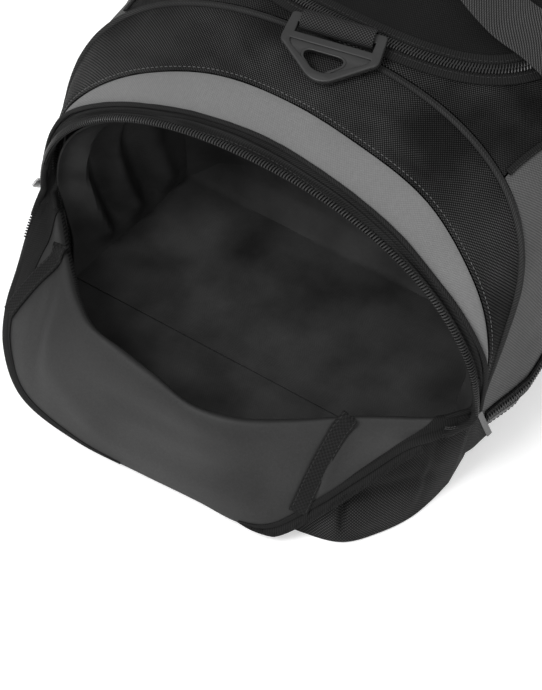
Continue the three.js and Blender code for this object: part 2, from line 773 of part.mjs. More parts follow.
// Lining: a soft D-shaped sleeve, closed at its back.
function liningLoop(row, inset) {
  const back = clamp((row.depth - 100) / 40, 0, 1);
  const y = NEAR_Y + row.depth - inset * back;
  const thin = row.half > 0 ? inset : 0;
  const half = row.half - thin;
  const foot = row.foot - thin;
  const floor = row.floor + thin;
  const top = row.top - thin;
  const at = (x, z) => new THREE.Vector3(x, y, z);
  const side = steps(LINING_SIDE_STEPS, (s) => at(-lerp(foot, half, s), lerp(floor, row.spring, s)));
  const arch = steps(LINING_ARCH_STEPS, (s) => {
    const level = Math.max(Math.sin(Math.PI * s), 0) ** (2 / ARCH_ROUND);
    const turn = Math.cos(Math.PI * s);
    const over = Math.sign(turn) * Math.abs(turn) ** (2 / ARCH_ROUND);
    return at(-half * over, lerp(row.spring, top, level));
  });
  const down = side.toReversed().map((p) => at(-p.x, p.z));
  const floorLine = steps(LINING_FLOOR_STEPS, (s) => at(lerp(foot, -foot, s), floor));
  return [...side.slice(0, -1), ...arch, ...down.slice(1), ...floorLine.slice(1)];
}

function lining() {
  const loops = (inset) => LINING.map((row) => liningLoop(row, inset));
  return wall(loops(0), loops(LINING_CLOTH), true);
}

// Hard pieces
const ACROSS = new THREE.Matrix4().makeBasis(
  new THREE.Vector3(0, 1, 0),
  new THREE.Vector3(0, 0, 1),
  new THREE.Vector3(1, 0, 0),
);

function across(shape, width) {
  const geometry = new THREE.ExtrudeGeometry(shape, {
    depth: width,
    bevelEnabled: false,
    curveSegments: 8,
  });
  return geometry.translate(0, 0, -width / 2).applyMatrix4(ACROSS);
}

function solid(geometry) {
  const bare = new THREE.BufferGeometry();
  bare.setAttribute("position", geometry.getAttribute("position"));
  bare.setIndex(geometry.index);
  const merged = mergeVertices(bare, 1e-4);
  return new wasm.Manifold(
    new wasm.Mesh({
      numProp: 3,
      vertProperties: merged.getAttribute("position").array,
      triVerts: new Uint32Array(merged.index.array),
    }),
  );
}

function geometryOf(made) {
  const { vertProperties, triVerts, numProp } = made.getMesh();
  const geometry = new THREE.BufferGeometry();
  const flat = [];
  for (let i = 0; i < vertProperties.length; i += numProp) {
    flat.push(...vertProperties.subarray(i, i + 3));
  }
  geometry.setAttribute("position", new THREE.Float32BufferAttribute(flat, 3));
  geometry.setIndex([...triVerts]);
  geometry.computeVertexNormals();
  return geometry;
}

function ringPlate() {
  const shape = new THREE.Shape();
  const shoulder = -15;
  shape.moveTo(-RING_HALF + 3, RING_BAR);
  shape.lineTo(RING_HALF - 3, RING_BAR);
  shape.quadraticCurveTo(RING_HALF, RING_BAR, RING_HALF, 0);
  shape.lineTo(RING_HALF - 2, shoulder + 4);
  shape.quadraticCurveTo(RING_HALF - 4, shoulder - 3, RING_HALF - 11, shoulder - 8);
  shape.lineTo(13, -RING_TIP + 4);
  shape.quadraticCurveTo(0, -RING_TIP - 4, -13, -RING_TIP + 4);
  shape.lineTo(-RING_HALF + 11, shoulder - 8);
  shape.quadraticCurveTo(-RING_HALF + 4, shoulder - 3, -RING_HALF + 2, shoulder + 4);
  shape.lineTo(-RING_HALF, 0);
  shape.quadraticCurveTo(-RING_HALF, RING_BAR, -RING_HALF + 3, RING_BAR);
  const slot = new THREE.Path();
  const slotHalf = LOOP_WIDTH / 2 + 1.5;
  slot.moveTo(-slotHalf, -RING_BAR);
  slot.lineTo(-slotHalf, shoulder + 3);
  slot.lineTo(slotHalf, shoulder + 3);
  slot.lineTo(slotHalf, -RING_BAR);
  slot.closePath();
  const eye = new THREE.Path();
  eye.moveTo(-13, shoulder - 4);
  eye.quadraticCurveTo(-14, shoulder - 10, -7, -RING_TIP + 8);
  eye.quadraticCurveTo(0, -RING_TIP + 4, 7, -RING_TIP + 8);
  eye.quadraticCurveTo(14, shoulder - 10, 13, shoulder - 4);
  eye.closePath();
  shape.holes.push(slot, eye);
  const geometry = new THREE.ExtrudeGeometry(shape, {
    depth: RING_THICK,
    bevelEnabled: false,
    curveSegments: 4,
  });
  return geometry.translate(0, 0, -RING_THICK / 2);
}

function ringLoop(stem) {
  const outer = LOOP_BORE + LOOP_THICK;
  const shape = new THREE.Shape();
  const half = LOOP_THICK * 0.9;
  const notch = Math.asin(half / outer);
  const start = notch - HALF_PI;
  shape.moveTo(half, -stem);
  shape.lineTo(half, outer * Math.sin(start));
  shape.absarc(0, 0, outer, start, start + 2 * (Math.PI - notch), false);
  shape.lineTo(-half, -stem);
  shape.closePath();
  const bore = new THREE.Path();
  bore.absarc(0, 0, LOOP_BORE, 0, 2 * Math.PI, true);
  shape.holes.push(bore);
  return across(shape, LOOP_WIDTH);
}

function lathe(rows) {
  const profileLine = rows.map(([radius, offset]) => new THREE.Vector2(radius, offset));
  const geometry = new THREE.LatheGeometry([...profileLine, profileLine[0].clone()], ROUND_SIDES);
  return geometryOf(solid(geometry.rotateZ(-HALF_PI)));
}

function hub() {
  const half = TYRE_WIDTH / 2 - 1;
  const bore = PIN_RADIUS + GAP * 2;
  return lathe([
    [bore, -half],
    [bore + 4, -half],
    [bore + 5, -half + 3],
    [HUB_RADIUS - 4, -half + 3],
    [HUB_RADIUS, -half],
    [HUB_RADIUS, half],
    [HUB_RADIUS - 4, half - 3],
    [bore + 5, half - 3],
    [bore + 4, half],
    [bore, half],
  ]);
}

function tyre() {
  const half = TYRE_WIDTH / 2;
  const inside = HUB_RADIUS + GAP;
  return lathe([
    [inside, -half + 1],
    [WHEEL_RADIUS - 3, -half],
    [WHEEL_RADIUS, -half + 4],
    [WHEEL_RADIUS, half - 4],
    [WHEEL_RADIUS - 3, half],
    [inside, half - 1],
  ]);
}

// Housing: a rounded shell over the wheel, open below and behind, with the axle pin across it.
const HOUSING_BACK = LENGTH / 2 - WHEEL_Y + FAR_SWELL / 2;
const HOUSING_LOW = 0.8 - WHEEL_Z;
const HOUSING_WIDE = WELL_WIDTH + 2 * HOUSING_WALL;

function housing() {
  const radius = WELL_RADIUS + HOUSING_WALL;
  const shape = new THREE.Shape();
  const start = Math.acos(HOUSING_BACK / radius);
  shape.moveTo(HOUSING_BACK, HOUSING_LOW);
  shape.lineTo(HOUSING_BACK, radius * Math.sin(start));
  shape.absarc(0, 0, radius, start, Math.PI, false);
  shape.lineTo(-radius, HOUSING_LOW);
  shape.closePath();
  const round = (r, w) => new THREE.CylinderGeometry(r, r, w, ROUND_SIDES).rotateZ(HALF_PI);
  const shell = solid(across(shape, HOUSING_WIDE)).subtract(solid(round(WELL_RADIUS, WELL_WIDTH)));
  return geometryOf(shell.add(solid(round(PIN_RADIUS, HOUSING_WIDE - HOUSING_WALL))));
}

function notched(geometry) {
  const size = WELL_RADIUS + HOUSING_WALL + GAP;
  let made = solid(geometry);
  for (const right of [-1, 1]) {
    const block = new THREE.BoxGeometry(HOUSING_WIDE + 2 * GAP, 4 * size, 2 * size);
    block.translate(right * WHEEL_X, WHEEL_Y + size, WHEEL_Z);
    made = made.subtract(solid(block));
  }
  return geometryOf(made);
}

// Carry handle
function handleStation(row, right) {
  if (row.girth === 0) {
    const flat = new THREE.Vector3(0.35, 0, 0.94);
    const up = flat.lerp(new THREE.Vector3(1, 0, 0), row.twist).normalize();
    const z = row.z + (FAR_TOP - NEAR_TOP) * runAt(row.y, 0);
    return { point: new THREE.Vector3(row.x, NEAR_Y + row.y, z), up };
  }
  const girth = right * row.girth;
  const run = runAt(row.y, girth);
  const up = bodyNormal(run, girth);
  const point = body(run, girth).addScaledVector(up, row.lift + HANDLE_THICK / 2);
  point.x *= right;
  up.x *= right;
  return { point, up };
}

function handle(right) {
  const near = HANDLE.map((row) => handleStation(row, right));
  const far = HANDLE.slice(0, -1).toReversed().map((row) => {
    return handleStation({ ...row, y: 2 * LID_MIDDLE - row.y }, right);
  });
  const stations = [...near, ...far];
  for (const { point, up } of stations) {
    point.x *= right;
    up.x *= right;
  }
  const path = new THREE.CatmullRomCurve3(stations.map(({ point }) => point));
  const lean = new THREE.CatmullRomCurve3(stations.map(({ up }) => up));
  const points = steps(HANDLE_STEPS, (s) => path.getPoint(s));
  const ups = steps(HANDLE_STEPS, (s) => lean.getPoint(s).normalize());
  const section = band(HANDLE_WIDTH / 2, -HANDLE_THICK / 2, HANDLE_THICK);
  return swept(framesAlong(points, ups), section);
}

// Side-pocket zip track and the other trims
const sideZipTrack = (right) => {
  const rows = SIDE_ZIP.map(({ y, girth }) => new THREE.Vector2(y, girth));
  const rest = rows.slice(0, -1).toReversed().map((q) => new THREE.Vector2(LENGTH - q.x, q.y));
  const line = new THREE.SplineCurve([...rows, ...rest]);
  return steps(SIDE_ZIP_STEPS, (s) => {
    const { x: y, y: girth } = line.getPoint(s);
    return [runAt(y, right * girth), right * girth];
  });
};

function trim(girth, low, high) {
  const track = steps(LENGTH_STEPS, (s) => [lerp(low, high, s), girth]);
  return onBody(track, band(TRIM_HALF, SEAT, TRIM_THICK));
}

// Slider with its pull lying along the zip, drawn from the side.
const SLIDER_WIDTH = 8;
const POCKET_SLIDER = new THREE.Vector3(-180.5, NEAR_Y + 10, 84);

function sliderGeometry() {
  const side = [
    [0, 0],
    [13, 0],
    [13, 3],
    [9, 4.5],
    [-20, 4.5],
    [-22, 3.8],
    [-20, 3],
    [0, 3],
  ];
  return across(new THREE.Shape(side.map(([a, b]) => new THREE.Vector2(a, b))), SLIDER_WIDTH);
}

function slider(name, point, along, up, lift) {
  const mesh = piece(name, sliderGeometry(), "nickel");
  const side = along.clone().cross(up).normalize();
  const forward = up.clone().cross(side).normalize();
  const place = new THREE.Matrix4().makeBasis(side, forward, up);
  place.setPosition(point.clone().addScaledVector(up, lift));
  mesh.applyMatrix4(place);
  return mesh;
}

function bodySlider(name, track, at) {
  const [run, girth] = track[at];
  const ahead = body(...track[at + 1]);
  const point = body(run, girth);
  const lift = SEAT + TAPE_THICK + COIL_HIGH + GAP;
  return slider(name, point, ahead.sub(point), bodyNormal(run, girth), lift);
}

function group(...children) {
  const made = new THREE.Group();
  made.add(...children);
  return made;
}

const PIPE_LOW_GIRTH = 0.985;
const shell = group(
  piece("base_panel", notched(basePanel()), "black"),
  piece("side_panel_left", sidePanel(-1), "grey"),
  piece("side_panel_right", sidePanel(1), "grey"),
  piece("yoke", yokePanel(), "black"),
  piece("lid", lidPanel(), "black"),
  piece("far_panel", notched(farPanel()), "black"),
  piece("near_piping", seamPipe(0, PIPE_LOW_GIRTH), "black"),
  piece("far_piping", seamPipe(1, PIPE_LOW_GIRTH), "black"),
);

const nearEnd = group(
  piece("end_panel", endPanel(), "black"),
  piece("crescent_band", crescentBand(), "pale"),
  piece("pocket_rim", pocketRim(), "black"),
  piece("rim_fold", rimFold(), "black"),
  piece("rim_coil", rimCoil(), "coil"),
);

const pocket = group(
  piece("pocket_front", pocketFront(), "coated"),
  piece("pocket_floor", pocketFloor(), "lining"),
  piece("pocket_lining", lining(), "lining"),
  piece("flap_zip", flapZip(), "coil"),
  ...BINDINGS.map((row) => piece(`binding_${row.side}`, binding(row), "webbing")),
);

const mainTrack = zipTrack(ZIP_END);
const zips = group(
  piece("main_zip", onBody(mainTrack, tapeWithCoil(TAPE_HALF)), "coil"),
  bodySlider("main_slider", mainTrack, 3),
  slider("pocket_slider", POCKET_SLIDER, new THREE.Vector3(0, -1, 0.2), new THREE.Vector3(-1, 0, 0), GAP),
);
const trims = new THREE.Group();
for (const [name, right] of [["left", -1], ["right", 1]]) {
  const track = sideZipTrack(right);
  zips.add(piece(`side_zip_${name}`, onBody(track, tapeWithCoil(SIDE_TAPE_HALF)), "coil"));
  zips.add(bodySlider(`side_slider_${name}`, track, SIDE_ZIP_STEPS - 4));
  trims.add(piece(`shoulder_trim_${name}`, trim(right * SHOULDER_GIRTH, 0.012, 0.988), "black"));
  trims.add(piece(`base_trim_${name}`, trim(right * TRIM_GIRTH, 0.012, 0.988), "pale"));
}

const handles = group(
  piece("handle_left", handle(-1), "webbing"),
  piece("handle_right", handle(1), "webbing"),
);

// Strap rings: each hangs on its bar inside a sewn loop of webbing.
function strapRing(name, place, yaw, drop, stem) {
  const plate = piece(`strap_ring_${name}`, ringPlate(), "plastic");
  plate.rotation.x = drop;
  const made = group(plate, piece(`ring_loop_${name}`, ringLoop(stem), "webbing"));
  made.position.copy(place);
  made.rotation.z = yaw;
  return made;
}

const RING_STEM = 8.2;
const rings = group(
  strapRing("near", new THREE.Vector3(0, NEAR_Y + 101, 258), RING_YAW, RING_DROP, RING_STEM),
  strapRing("far", new THREE.Vector3(0, 313.5, 269), Math.PI, FAR_RING_DROP, RING_STEM),
);

const wheels = new THREE.Group();
for (const [name, right] of [["left", -1], ["right", 1]]) {
  const set = group(
    piece(`wheel_housing_${name}`, housing(), "plastic"),
    piece(`wheel_hub_${name}`, hub(), "plastic"),
    piece(`wheel_tyre_${name}`, tyre(), "rubber"),
  );
  set.position.set(right * WHEEL_X, WHEEL_Y, WHEEL_Z);
  wheels.add(set);
}

const holdall = group(shell, nearEnd, pocket, zips, trims, handles, rings, wheels);
holdall.name = "holdall";

export default holdall;
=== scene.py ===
"""Looks of a soft wheeled holdall whose arched end pocket hangs open."""

import logging
import math
from dataclasses import dataclass
from enum import Enum
from typing import Sequence

import bmesh
import bpy
import numpy as np
from mathutils import Matrix, Vector


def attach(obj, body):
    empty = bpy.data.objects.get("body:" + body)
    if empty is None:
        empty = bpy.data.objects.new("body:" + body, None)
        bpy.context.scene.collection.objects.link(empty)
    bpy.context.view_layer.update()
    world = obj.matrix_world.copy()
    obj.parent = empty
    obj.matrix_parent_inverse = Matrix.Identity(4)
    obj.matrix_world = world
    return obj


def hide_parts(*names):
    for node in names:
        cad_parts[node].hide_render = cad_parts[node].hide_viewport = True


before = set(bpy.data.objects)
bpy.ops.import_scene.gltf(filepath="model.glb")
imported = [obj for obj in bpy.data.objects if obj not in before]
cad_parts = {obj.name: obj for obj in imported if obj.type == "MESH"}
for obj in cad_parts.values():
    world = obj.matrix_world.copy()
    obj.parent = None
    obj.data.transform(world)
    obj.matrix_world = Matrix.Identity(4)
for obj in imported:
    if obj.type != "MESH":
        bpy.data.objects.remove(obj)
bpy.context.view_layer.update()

LOG = logging.getLogger("holdall")
Array = np.ndarray
Faces = list[list[int]]
Pair = tuple[float, float]
Triple = tuple[float, float, float]
Table = tuple[tuple[float, ...], ...]
Piece = bpy.types.Object
Socket = bpy.types.NodeSocket
MM = 0.001
COORDS = "cloth"
MIRROR = np.array([-1.0, 1.0, 1.0])
SHARP = math.radians(40)
WELD = 1e-7


class Side(Enum):
    """A side of the bag, its value the sign of X there."""

    LEFT = -1
    RIGHT = 1

    @property
    def word(self) -> str:
        """The side's word in the names of pieces."""
        return self.name.lower()


# Small sums shared by every form


def unit(v: Array) -> Array:
    """The vectors at length one."""
    return v / np.maximum(np.linalg.norm(v, axis=-1, keepdims=True), 1e-9)


def lerp(a: Array, b: Array, share: Array) -> Array:
    """The value a share of the way from a to b."""
    return a + (b - a) * share


def shares(count: int) -> Array:
    """Even shares from 0 to 1."""
    return np.linspace(0, 1, count)


def stacked(*axes: Array) -> Array:
    """Points or pairs from axes that are spread to one shape."""
    return np.stack(np.broadcast_arrays(*axes), -1)


def running(points: Array, axis: int = 0) -> Array:
    """Running length from the first point, along one axis of a path or a grid."""
    steps = np.linalg.norm(np.diff(points, axis=axis), axis=-1)
    return np.insert(np.cumsum(steps, axis), 0, 0.0, axis)


def smooth(value: Array, low: float = 0.0, high: float = 1.0) -> Array:
    """A soft step from 0 at low to 1 at high."""
    t = np.clip((np.asarray(value, float) - low) / (high - low), 0.0, 1.0)
    return t * t * (3.0 - 2.0 * t)


def between(place: Array, margin: float) -> Array:
    """Nothing at both ends of a row of places, rising to 1 within a margin."""
    return smooth(place, 0, margin) * smooth(place.max() - place, 0, margin)


def bell(value: Array, middle: float, span: float) -> Array:
    """A bell of height one about middle."""
    return np.exp(-(((np.asarray(value, float) - middle) / span) ** 2))


def wander(place: Array, seed: float) -> Array:
    """A slow wave of mixed lengths, about -1 to 1, the same on each run.

    Args:
        place: distance along a seam or fold, in waves.
        seed: shift that makes one wave unlike the next.

    Returns:
        The wave's height at each place.
    """
    a = np.sin(place + seed)
    b = np.sin(1.73 * place + 2.1 * seed)
    c = np.sin(0.41 * place + 0.7 * seed)
    return (a + 0.7 * b + 0.8 * c) / 2.0


def spline(points: Array, t: Array) -> Array:
    """Centripetal curve through points.

    Args:
        points: the points passed through, one a row.
        t: shares of the way, counted in spans.

    Returns:
        One point for each share.
    """
    ends = 2 * points[:1] - points[1:2], 2 * points[-1:] - points[-2:-1]
    p = np.vstack([ends[0], points, ends[1]])
    last = len(points) - 1
    place = np.clip(np.asarray(t, float), 0, 1) * last
    i = np.minimum(place.astype(int), last - 1)
    w = (place - i)[:, None]
    q0, q1, q2, q3 = (p[i + k] for k in range(4))
    pairs = ((q0, q1), (q1, q2), (q2, q3))
    d0, d1, d2 = (
        np.sqrt(np.maximum(np.linalg.norm(b - a, axis=1, keepdims=True), 1e-6))
        for a, b in pairs
    )
    a = ((q1 - q0) / d0 - (q2 - q0) / (d0 + d1) + (q2 - q1) / d1) * d1
    b = ((q2 - q1) / d1 - (q3 - q1) / (d1 + d2) + (q3 - q2) / d2) * d1
    cubic = 2 * q1 - 2 * q2 + a + b
    square = -3 * q1 + 3 * q2 - 2 * a - b
    return q1 + a * w + square * w**2 + cubic * w**3


class Line:
    """A fine polyline that is read by shares of its length."""

    STEP = 0.004

    def __init__(self, points: Array) -> None:
        """Keeps the points and their running length."""
        self.points, self.run = points, running(points)
        self.length = float(self.run[-1])

    def at(self, share: Array) -> Array:
        """Points at shares of the length."""
        place = np.clip(share, 0, 1) * self.length
        return np.stack([np.interp(place, self.run, axis) for axis in self.points.T], -1)

    def tangent(self, share: Array) -> Array:
        """Directions at shares of the length."""
        return unit(self.at(share + self.STEP) - self.at(share - self.STEP))


# Meshes


def grid_normals(points: Array) -> Array:
    """Normals of a grid, columns crossed with rows."""
    return unit(np.cross(np.gradient(points, axis=1), np.gradient(points, axis=0)))


def raised(grid: Array, lift: Array) -> Array:
    """A grid moved along its normals."""
    return grid + grid_normals(grid) * np.asarray(lift)[..., None]


def cloth_coords(points: Array) -> Array:
    """Flat cloth coordinates of a grid: running lengths across from its middle and down its rows."""
    u = running(points, 1)
    return np.stack([u - u[:, -1:] / 2, running(points)], -1)


def quads(index: Array) -> Faces:
    """Four-cornered faces of a grid of point numbers."""
    corners = index[:-1, :-1], index[:-1, 1:], index[1:, 1:], index[1:, :-1]
    return np.stack(corners, -1).reshape(-1, 4).tolist()


def ring_faces(count: int, corners: int) -> Faces:
    """Faces of a tube of rings with so many corners each, both ends closed."""
    index = np.arange(count * corners).reshape(count, corners)
    return quads(np.pad(index, ((0, 0), (0, 1)), "wrap")) + [index[0, ::-1].tolist(), index[-1].tolist()]


@dataclass
class Frames:
    """Points of a path with the side and up directions at each."""

    point: Array
    side: Array
    up: Array

    @staticmethod
    def along(points: Array, ups: Array) -> "Frames":
        """Frames of a path whose up directions are roughly known.

        Args:
            points: the path.
            ups: up direction at each point, or one for all.

        Returns:
            Frames square to the path.
        """
        tangent = unit(np.gradient(points, axis=0))
        side = unit(np.cross(tangent, ups))
        return Frames(points, side, unit(np.cross(side, tangent)))

    @property
    def tangent(self) -> Array:
        """Directions along the path."""
        return unit(np.cross(self.up, self.side))

    @property
    def run(self) -> Array:
        """Running length at each point."""
        return running(self.point)

    @property
    def flipped(self) -> "Frames":
        """The same path with its sides turned round."""
        return Frames(self.point, -self.side, self.up)

    @property
    def squared(self) -> "Frames":
        """The same path with its frames set square to it."""
        return Frames.along(self.point, self.up)

    def part(self, keep: Array) -> "Frames":
        """The frames that are kept."""
        return Frames(self.point[keep], self.side[keep], self.up[keep])

    def spaced(self, pitch: float, start: float = 0.0) -> "Frames":
        """The same path at equal steps.

        Args:
            pitch: length of a step.
            start: length left out at each end.

        Returns:
            New frames, one a step.
        """
        run = self.run
        place = np.arange(start, run[-1] - start, pitch)

        def read(values: Array) -> Array:
            """Values at the places."""
            return np.stack([np.interp(place, run, axis) for axis in values.T], -1)

        return Frames(read(self.point), unit(read(self.side)), unit(read(self.up)))

    def moved(self, side: Array = 0.0, up: Array = 0.0) -> "Frames":
        """The path shifted sideways and upwards."""
        shift = self.side * np.reshape(side, (-1, 1)) + self.up * np.reshape(up, (-1, 1))
        return Frames(self.point + shift, self.side, self.up)

    def axes(self, flip: bool = False) -> Array:
        """Along, side and up directions of each frame, side turned round on demand."""
        turn = -1.0 if flip else 1.0
        return np.stack([self.tangent * turn, self.side * turn, self.up], 1)


class MeshKit:
    """Points, faces and cloth coordinates gathered for one piece, in millimetres."""

    def __init__(self) -> None:
        """Starts empty."""
        self.points: list[Array] = []
        self.coords: list[Array] = []
        self.faces: Faces = []
        self.count = 0
        self.flat: Triple | None = None

    def add(self, points: Array, faces: Faces, coords: Array) -> None:
        """Adds points with their faces.

        Args:
            points: the points.
            faces: their numbers, face by face.
            coords: cloth coordinates of the points.
        """
        self.faces.extend([[i + self.count for i in f] for f in faces])
        self.points.append(points.reshape(-1, 3))
        self.coords.append(coords.reshape(-1, 2))
        self.count += len(self.points[-1])

    def sheet(
        self, points: Array, thickness: float, coords: Array | None = None, ring: bool = False
    ) -> None:
        """Adds a sheet of even thickness behind a grid.

        Args:
            points: grid of the face that shows, whose normals point out.
            thickness: how far the back lies behind it.
            coords: cloth coordinates of the grid, or None for running lengths.
            ring: whether the last column is the first one again.
        """
        coords = cloth_coords(points) if coords is None else coords
        normals = grid_normals(points)
        if ring:
            normals[:, 0] = normals[:, -1] = unit(normals[:, 0] + normals[:, -1])
        back = points - normals * thickness
        rows, columns = points.shape[:2]
        face = np.arange(rows * columns).reshape(rows, columns)
        rear = face + rows * columns
        edges = [(rear[0], face[0]), (face[-1], rear[-1])]
        if not ring:
            edges += [(face[:, 0], rear[:, 0]), (rear[:, -1], face[:, -1])]
        faces = quads(face) + quads(rear[:, ::-1])
        for pair in edges:
            faces += quads(np.stack(pair))
        self.add(np.concatenate([points, back]), faces, np.concatenate([coords, coords]))
        size = np.ptp(cloth_coords(points).reshape(-1, 2), axis=0) * MM
        cross = np.cross(points[1:, :-1] - points[:-1, :-1], points[:-1, 1:] - points[:-1, :-1])
        area = float(np.linalg.norm(cross, axis=-1).sum()) * MM * MM
        self.flat = (float(size[0]), float(size[1]), area)

    def sweep(self, frames: Frames, section: Array, scale: Array | None = None) -> None:
        """Carries a closed section of side and height corners along frames.

        Args:
            frames: the path.
            section: corners of the section, in order.
            scale: size of the section at each frame, or None for an even one.
        """
        size = np.ones(len(frames.point)) if scale is None else scale
        spread = section[None] * size[:, None, None]
        across = frames.side[:, None] * spread[..., :1]
        points = frames.point[:, None] + across + frames.up[:, None] * spread[..., 1:]
        coords = stacked(frames.run[:, None], running(section)[None])
        self.add(points, ring_faces(*points.shape[:2]), coords)

    def copies(self, shape: "Shape", places: Array, axes: Array) -> None:
        """Adds one copy of a small shape at each place.

        Args:
            shape: the shape, about its own origin.
            places: where the copies go.
            axes: the three directions of each copy.
        """
        points = places[:, None] + np.einsum("nj,kji->kni", shape.points, axes)
        step = len(shape.points)
        faces = [[i + k * step for i in f] for k in range(len(places)) for f in shape.faces]
        self.add(points, faces, np.tile(shape.points[:, :2], (len(places), 1)))

    def build(self, name: str) -> Piece:
        """Makes the object.

        Args:
            name: the piece's name.

        Returns:
            The object, in metres.
        """
        mesh = bpy.data.meshes.new(name)
        mesh.from_pydata((np.concatenate(self.points) * MM).tolist(), [], self.faces)
        flat = np.concatenate(self.coords) * MM
        corner = np.zeros(len(mesh.loops), np.int32)
        mesh.loops.foreach_get("vertex_index", corner)
        layer = mesh.uv_layers.new(name=COORDS)
        layer.data.foreach_set("uv", flat[corner].astype(np.float32).ravel())
        work = bmesh.new()
        work.from_mesh(mesh)
        bmesh.ops.remove_doubles(work, verts=work.verts, dist=WELD)
        bmesh.ops.dissolve_degenerate(work, edges=work.edges, dist=WELD)
        bmesh.ops.recalc_face_normals(work, faces=work.faces)
        work.to_mesh(mesh)
        work.free()
        mesh.polygons.foreach_set("use_smooth", np.ones(len(mesh.polygons), bool))
        mesh.set_sharp_from_angle(angle=SHARP)
        mesh.update()
        obj = bpy.data.objects.new(name, mesh)
        bpy.context.scene.collection.objects.link(obj)
        return obj


@dataclass
class Shape:
    """A small closed shape that is copied along seams and zips."""

    points: Array
    faces: Faces


def full_turn(count: int) -> Array:
    """Even angles once round."""
    return np.linspace(0, 2 * np.pi, count, endpoint=False)


def tube_shape(path: Array, radii: Array, sides: int) -> Shape:
    """A short bent rod with closed ends.

    Args:
        path: points of its middle line.
        radii: its radius at each.
        sides: corners round it.

    Returns:
        The rod about the same origin.
    """
    tangent = unit(np.gradient(path, axis=0))
    hint = np.array([[0.31, 0.0, 1.0] if abs(tangent[0, 2]) < 0.9 else [1.0, 0.2, 0.0]])
    side = unit(np.cross(tangent, hint))
    up = np.cross(side, tangent)
    turn = full_turn(sides)[None, :, None]
    ring = np.cos(turn) * side[:, None] + np.sin(turn) * up[:, None]
    points = path[:, None] + ring * radii[:, None, None]
    return Shape(points.reshape(-1, 3), ring_faces(len(path), sides))


def coil_tooth(reach: float) -> Shape:
    """One loop of a zip coil, from its tape to past the middle of the zip.

    Args:
        reach: how far the tape lies from the middle.

    Returns:
        The loop about the middle.
    """
    along = np.array([-0.5, -0.35, 0.0, 0.3, 0.4])
    across = np.array([1.0, 0.86, 0.45, 0.0, -0.12]) * reach
    height = np.array([0.3, 1.5, 2.05, 1.75, 0.6])
    return tube_shape(stacked(along, across, height), np.array([0.5, 0.56, 0.58, 0.6, 0.46]), 6)


def thread_stitch(length: float, radius: float) -> Shape:
    """One stitch about its middle: a thread that rises out of the cloth and dips back."""
    path = stacked(np.array([-0.5, -0.3, 0.3, 0.5]) * length, 0.0, [-radius, 0.25, 0.25, -radius])
    return tube_shape(path, np.array([0.7, 1.0, 1.0, 0.7]) * radius, 5)


def round_section(radius: float, sides: int) -> Array:
    """Corners of a round section."""
    turn = full_turn(sides)
    return radius * stacked(np.cos(turn), np.sin(turn))


def strap_section(width: float, thickness: float, low: float = 0.0) -> Array:
    """Corners of a flat strap with soft edges.

    Args:
        width: width of the strap.
        thickness: its thickness.
        low: height of its underside.

    Returns:
        Side and height of each corner.
    """
    half, soft = width / 2, thickness * 0.35
    top = low + thickness
    sides = [(-half + soft, low), (half - soft, low), (half, low + soft), (half, top - soft)]
    sides += [(half - soft, top), (-half + soft, top), (-half, top - soft), (-half, low + soft)]
    return np.array(sides)


def evaluated(obj: Piece) -> bpy.types.Mesh:
    """The mesh of an object after its modifiers."""
    graph = bpy.context.evaluated_depsgraph_get()
    return bpy.data.meshes.new_from_object(obj.evaluated_get(graph))


def plate_shape(outlines: Sequence[Array], thickness: float, bevel: float) -> Shape:
    """A flat plate with rounded edges, cut from outlines.

    Args:
        outlines: the outer outline and any holes, in millimetres.
        thickness: height of the plate, middle at zero.
        bevel: radius of its edges.

    Returns:
        The plate as a shape.
    """
    curve = bpy.data.curves.new("plate", "CURVE")
    curve.dimensions = "2D"
    curve.fill_mode = "BOTH"
    curve.extrude = (thickness / 2 - bevel) * MM
    curve.bevel_depth = bevel * MM
    curve.bevel_resolution = 2
    curve.offset = -bevel * MM
    for outline in outlines:
        part = curve.splines.new("POLY")
        part.points.add(len(outline) - 1)
        flat = stacked(*(outline * MM).T, 0.0, 1.0)
        part.points.foreach_set("co", flat.ravel())
        part.use_cyclic_u = True
    obj = bpy.data.objects.new("plate", curve)
    bpy.context.scene.collection.objects.link(obj)
    mesh = evaluated(obj)
    points = np.array([v.co for v in mesh.vertices]) / MM
    faces = [list(p.vertices) for p in mesh.polygons]
    bpy.data.objects.remove(obj)
    bpy.data.curves.remove(curve)
    bpy.data.meshes.remove(mesh)
    return Shape(points, faces)


def turned(rows: Array, count: int) -> Shape:
    """A closed ring turned about the X axis.

    Args:
        rows: radius and place along X of each corner of its section, in order.
        count: steps round it.

    Returns:
        The ring as a shape.
    """
    angle, (radius, along) = full_turn(count)[:, None], rows.T
    points = stacked(along, radius * np.cos(angle), radius * np.sin(angle))
    index = np.arange(count * len(rows)).reshape(count, len(rows))
    return Shape(points.reshape(-1, 3), quads(np.pad(index, (0, 1), mode="wrap")))


# Forms of the bag, in millimetres


@dataclass(frozen=True)
class Dent:
    """A dent in the slack cloth, or a swell where it is below zero."""

    run: float
    girth: float
    run_span: float
    girth_span: float
    deep: float

    def depth(self, run: Array, girth: Array) -> Array:
        """Depth of the dent at places on the body."""
        deep = self.deep * bell(run, self.run, self.run_span)
        return deep * bell(girth, self.girth, self.girth_span)


DENTS = (
    Dent(0.2, 0.79, 0.15, 0.13, -11),
    Dent(0.6, 0.77, 0.26, 0.14, -10),
    Dent(0.2, -0.79, 0.15, 0.13, -9),
    Dent(0.6, -0.77, 0.26, 0.14, -11),
    Dent(0.1, 0.31, 0.05, 0.05, 4),
    Dent(0.12, -0.32, 0.06, 0.05, 4),
    Dent(0.3, 0.1, 0.16, 0.12, 8),
    Dent(0.66, -0.12, 0.18, 0.13, 9),
    Dent(0.85, 0.4, 0.08, 0.1, 5),
    Dent(0.075, 0.9, 0.05, 0.09, -8),
    Dent(0.075, -0.9, 0.05, 0.09, -5),
)


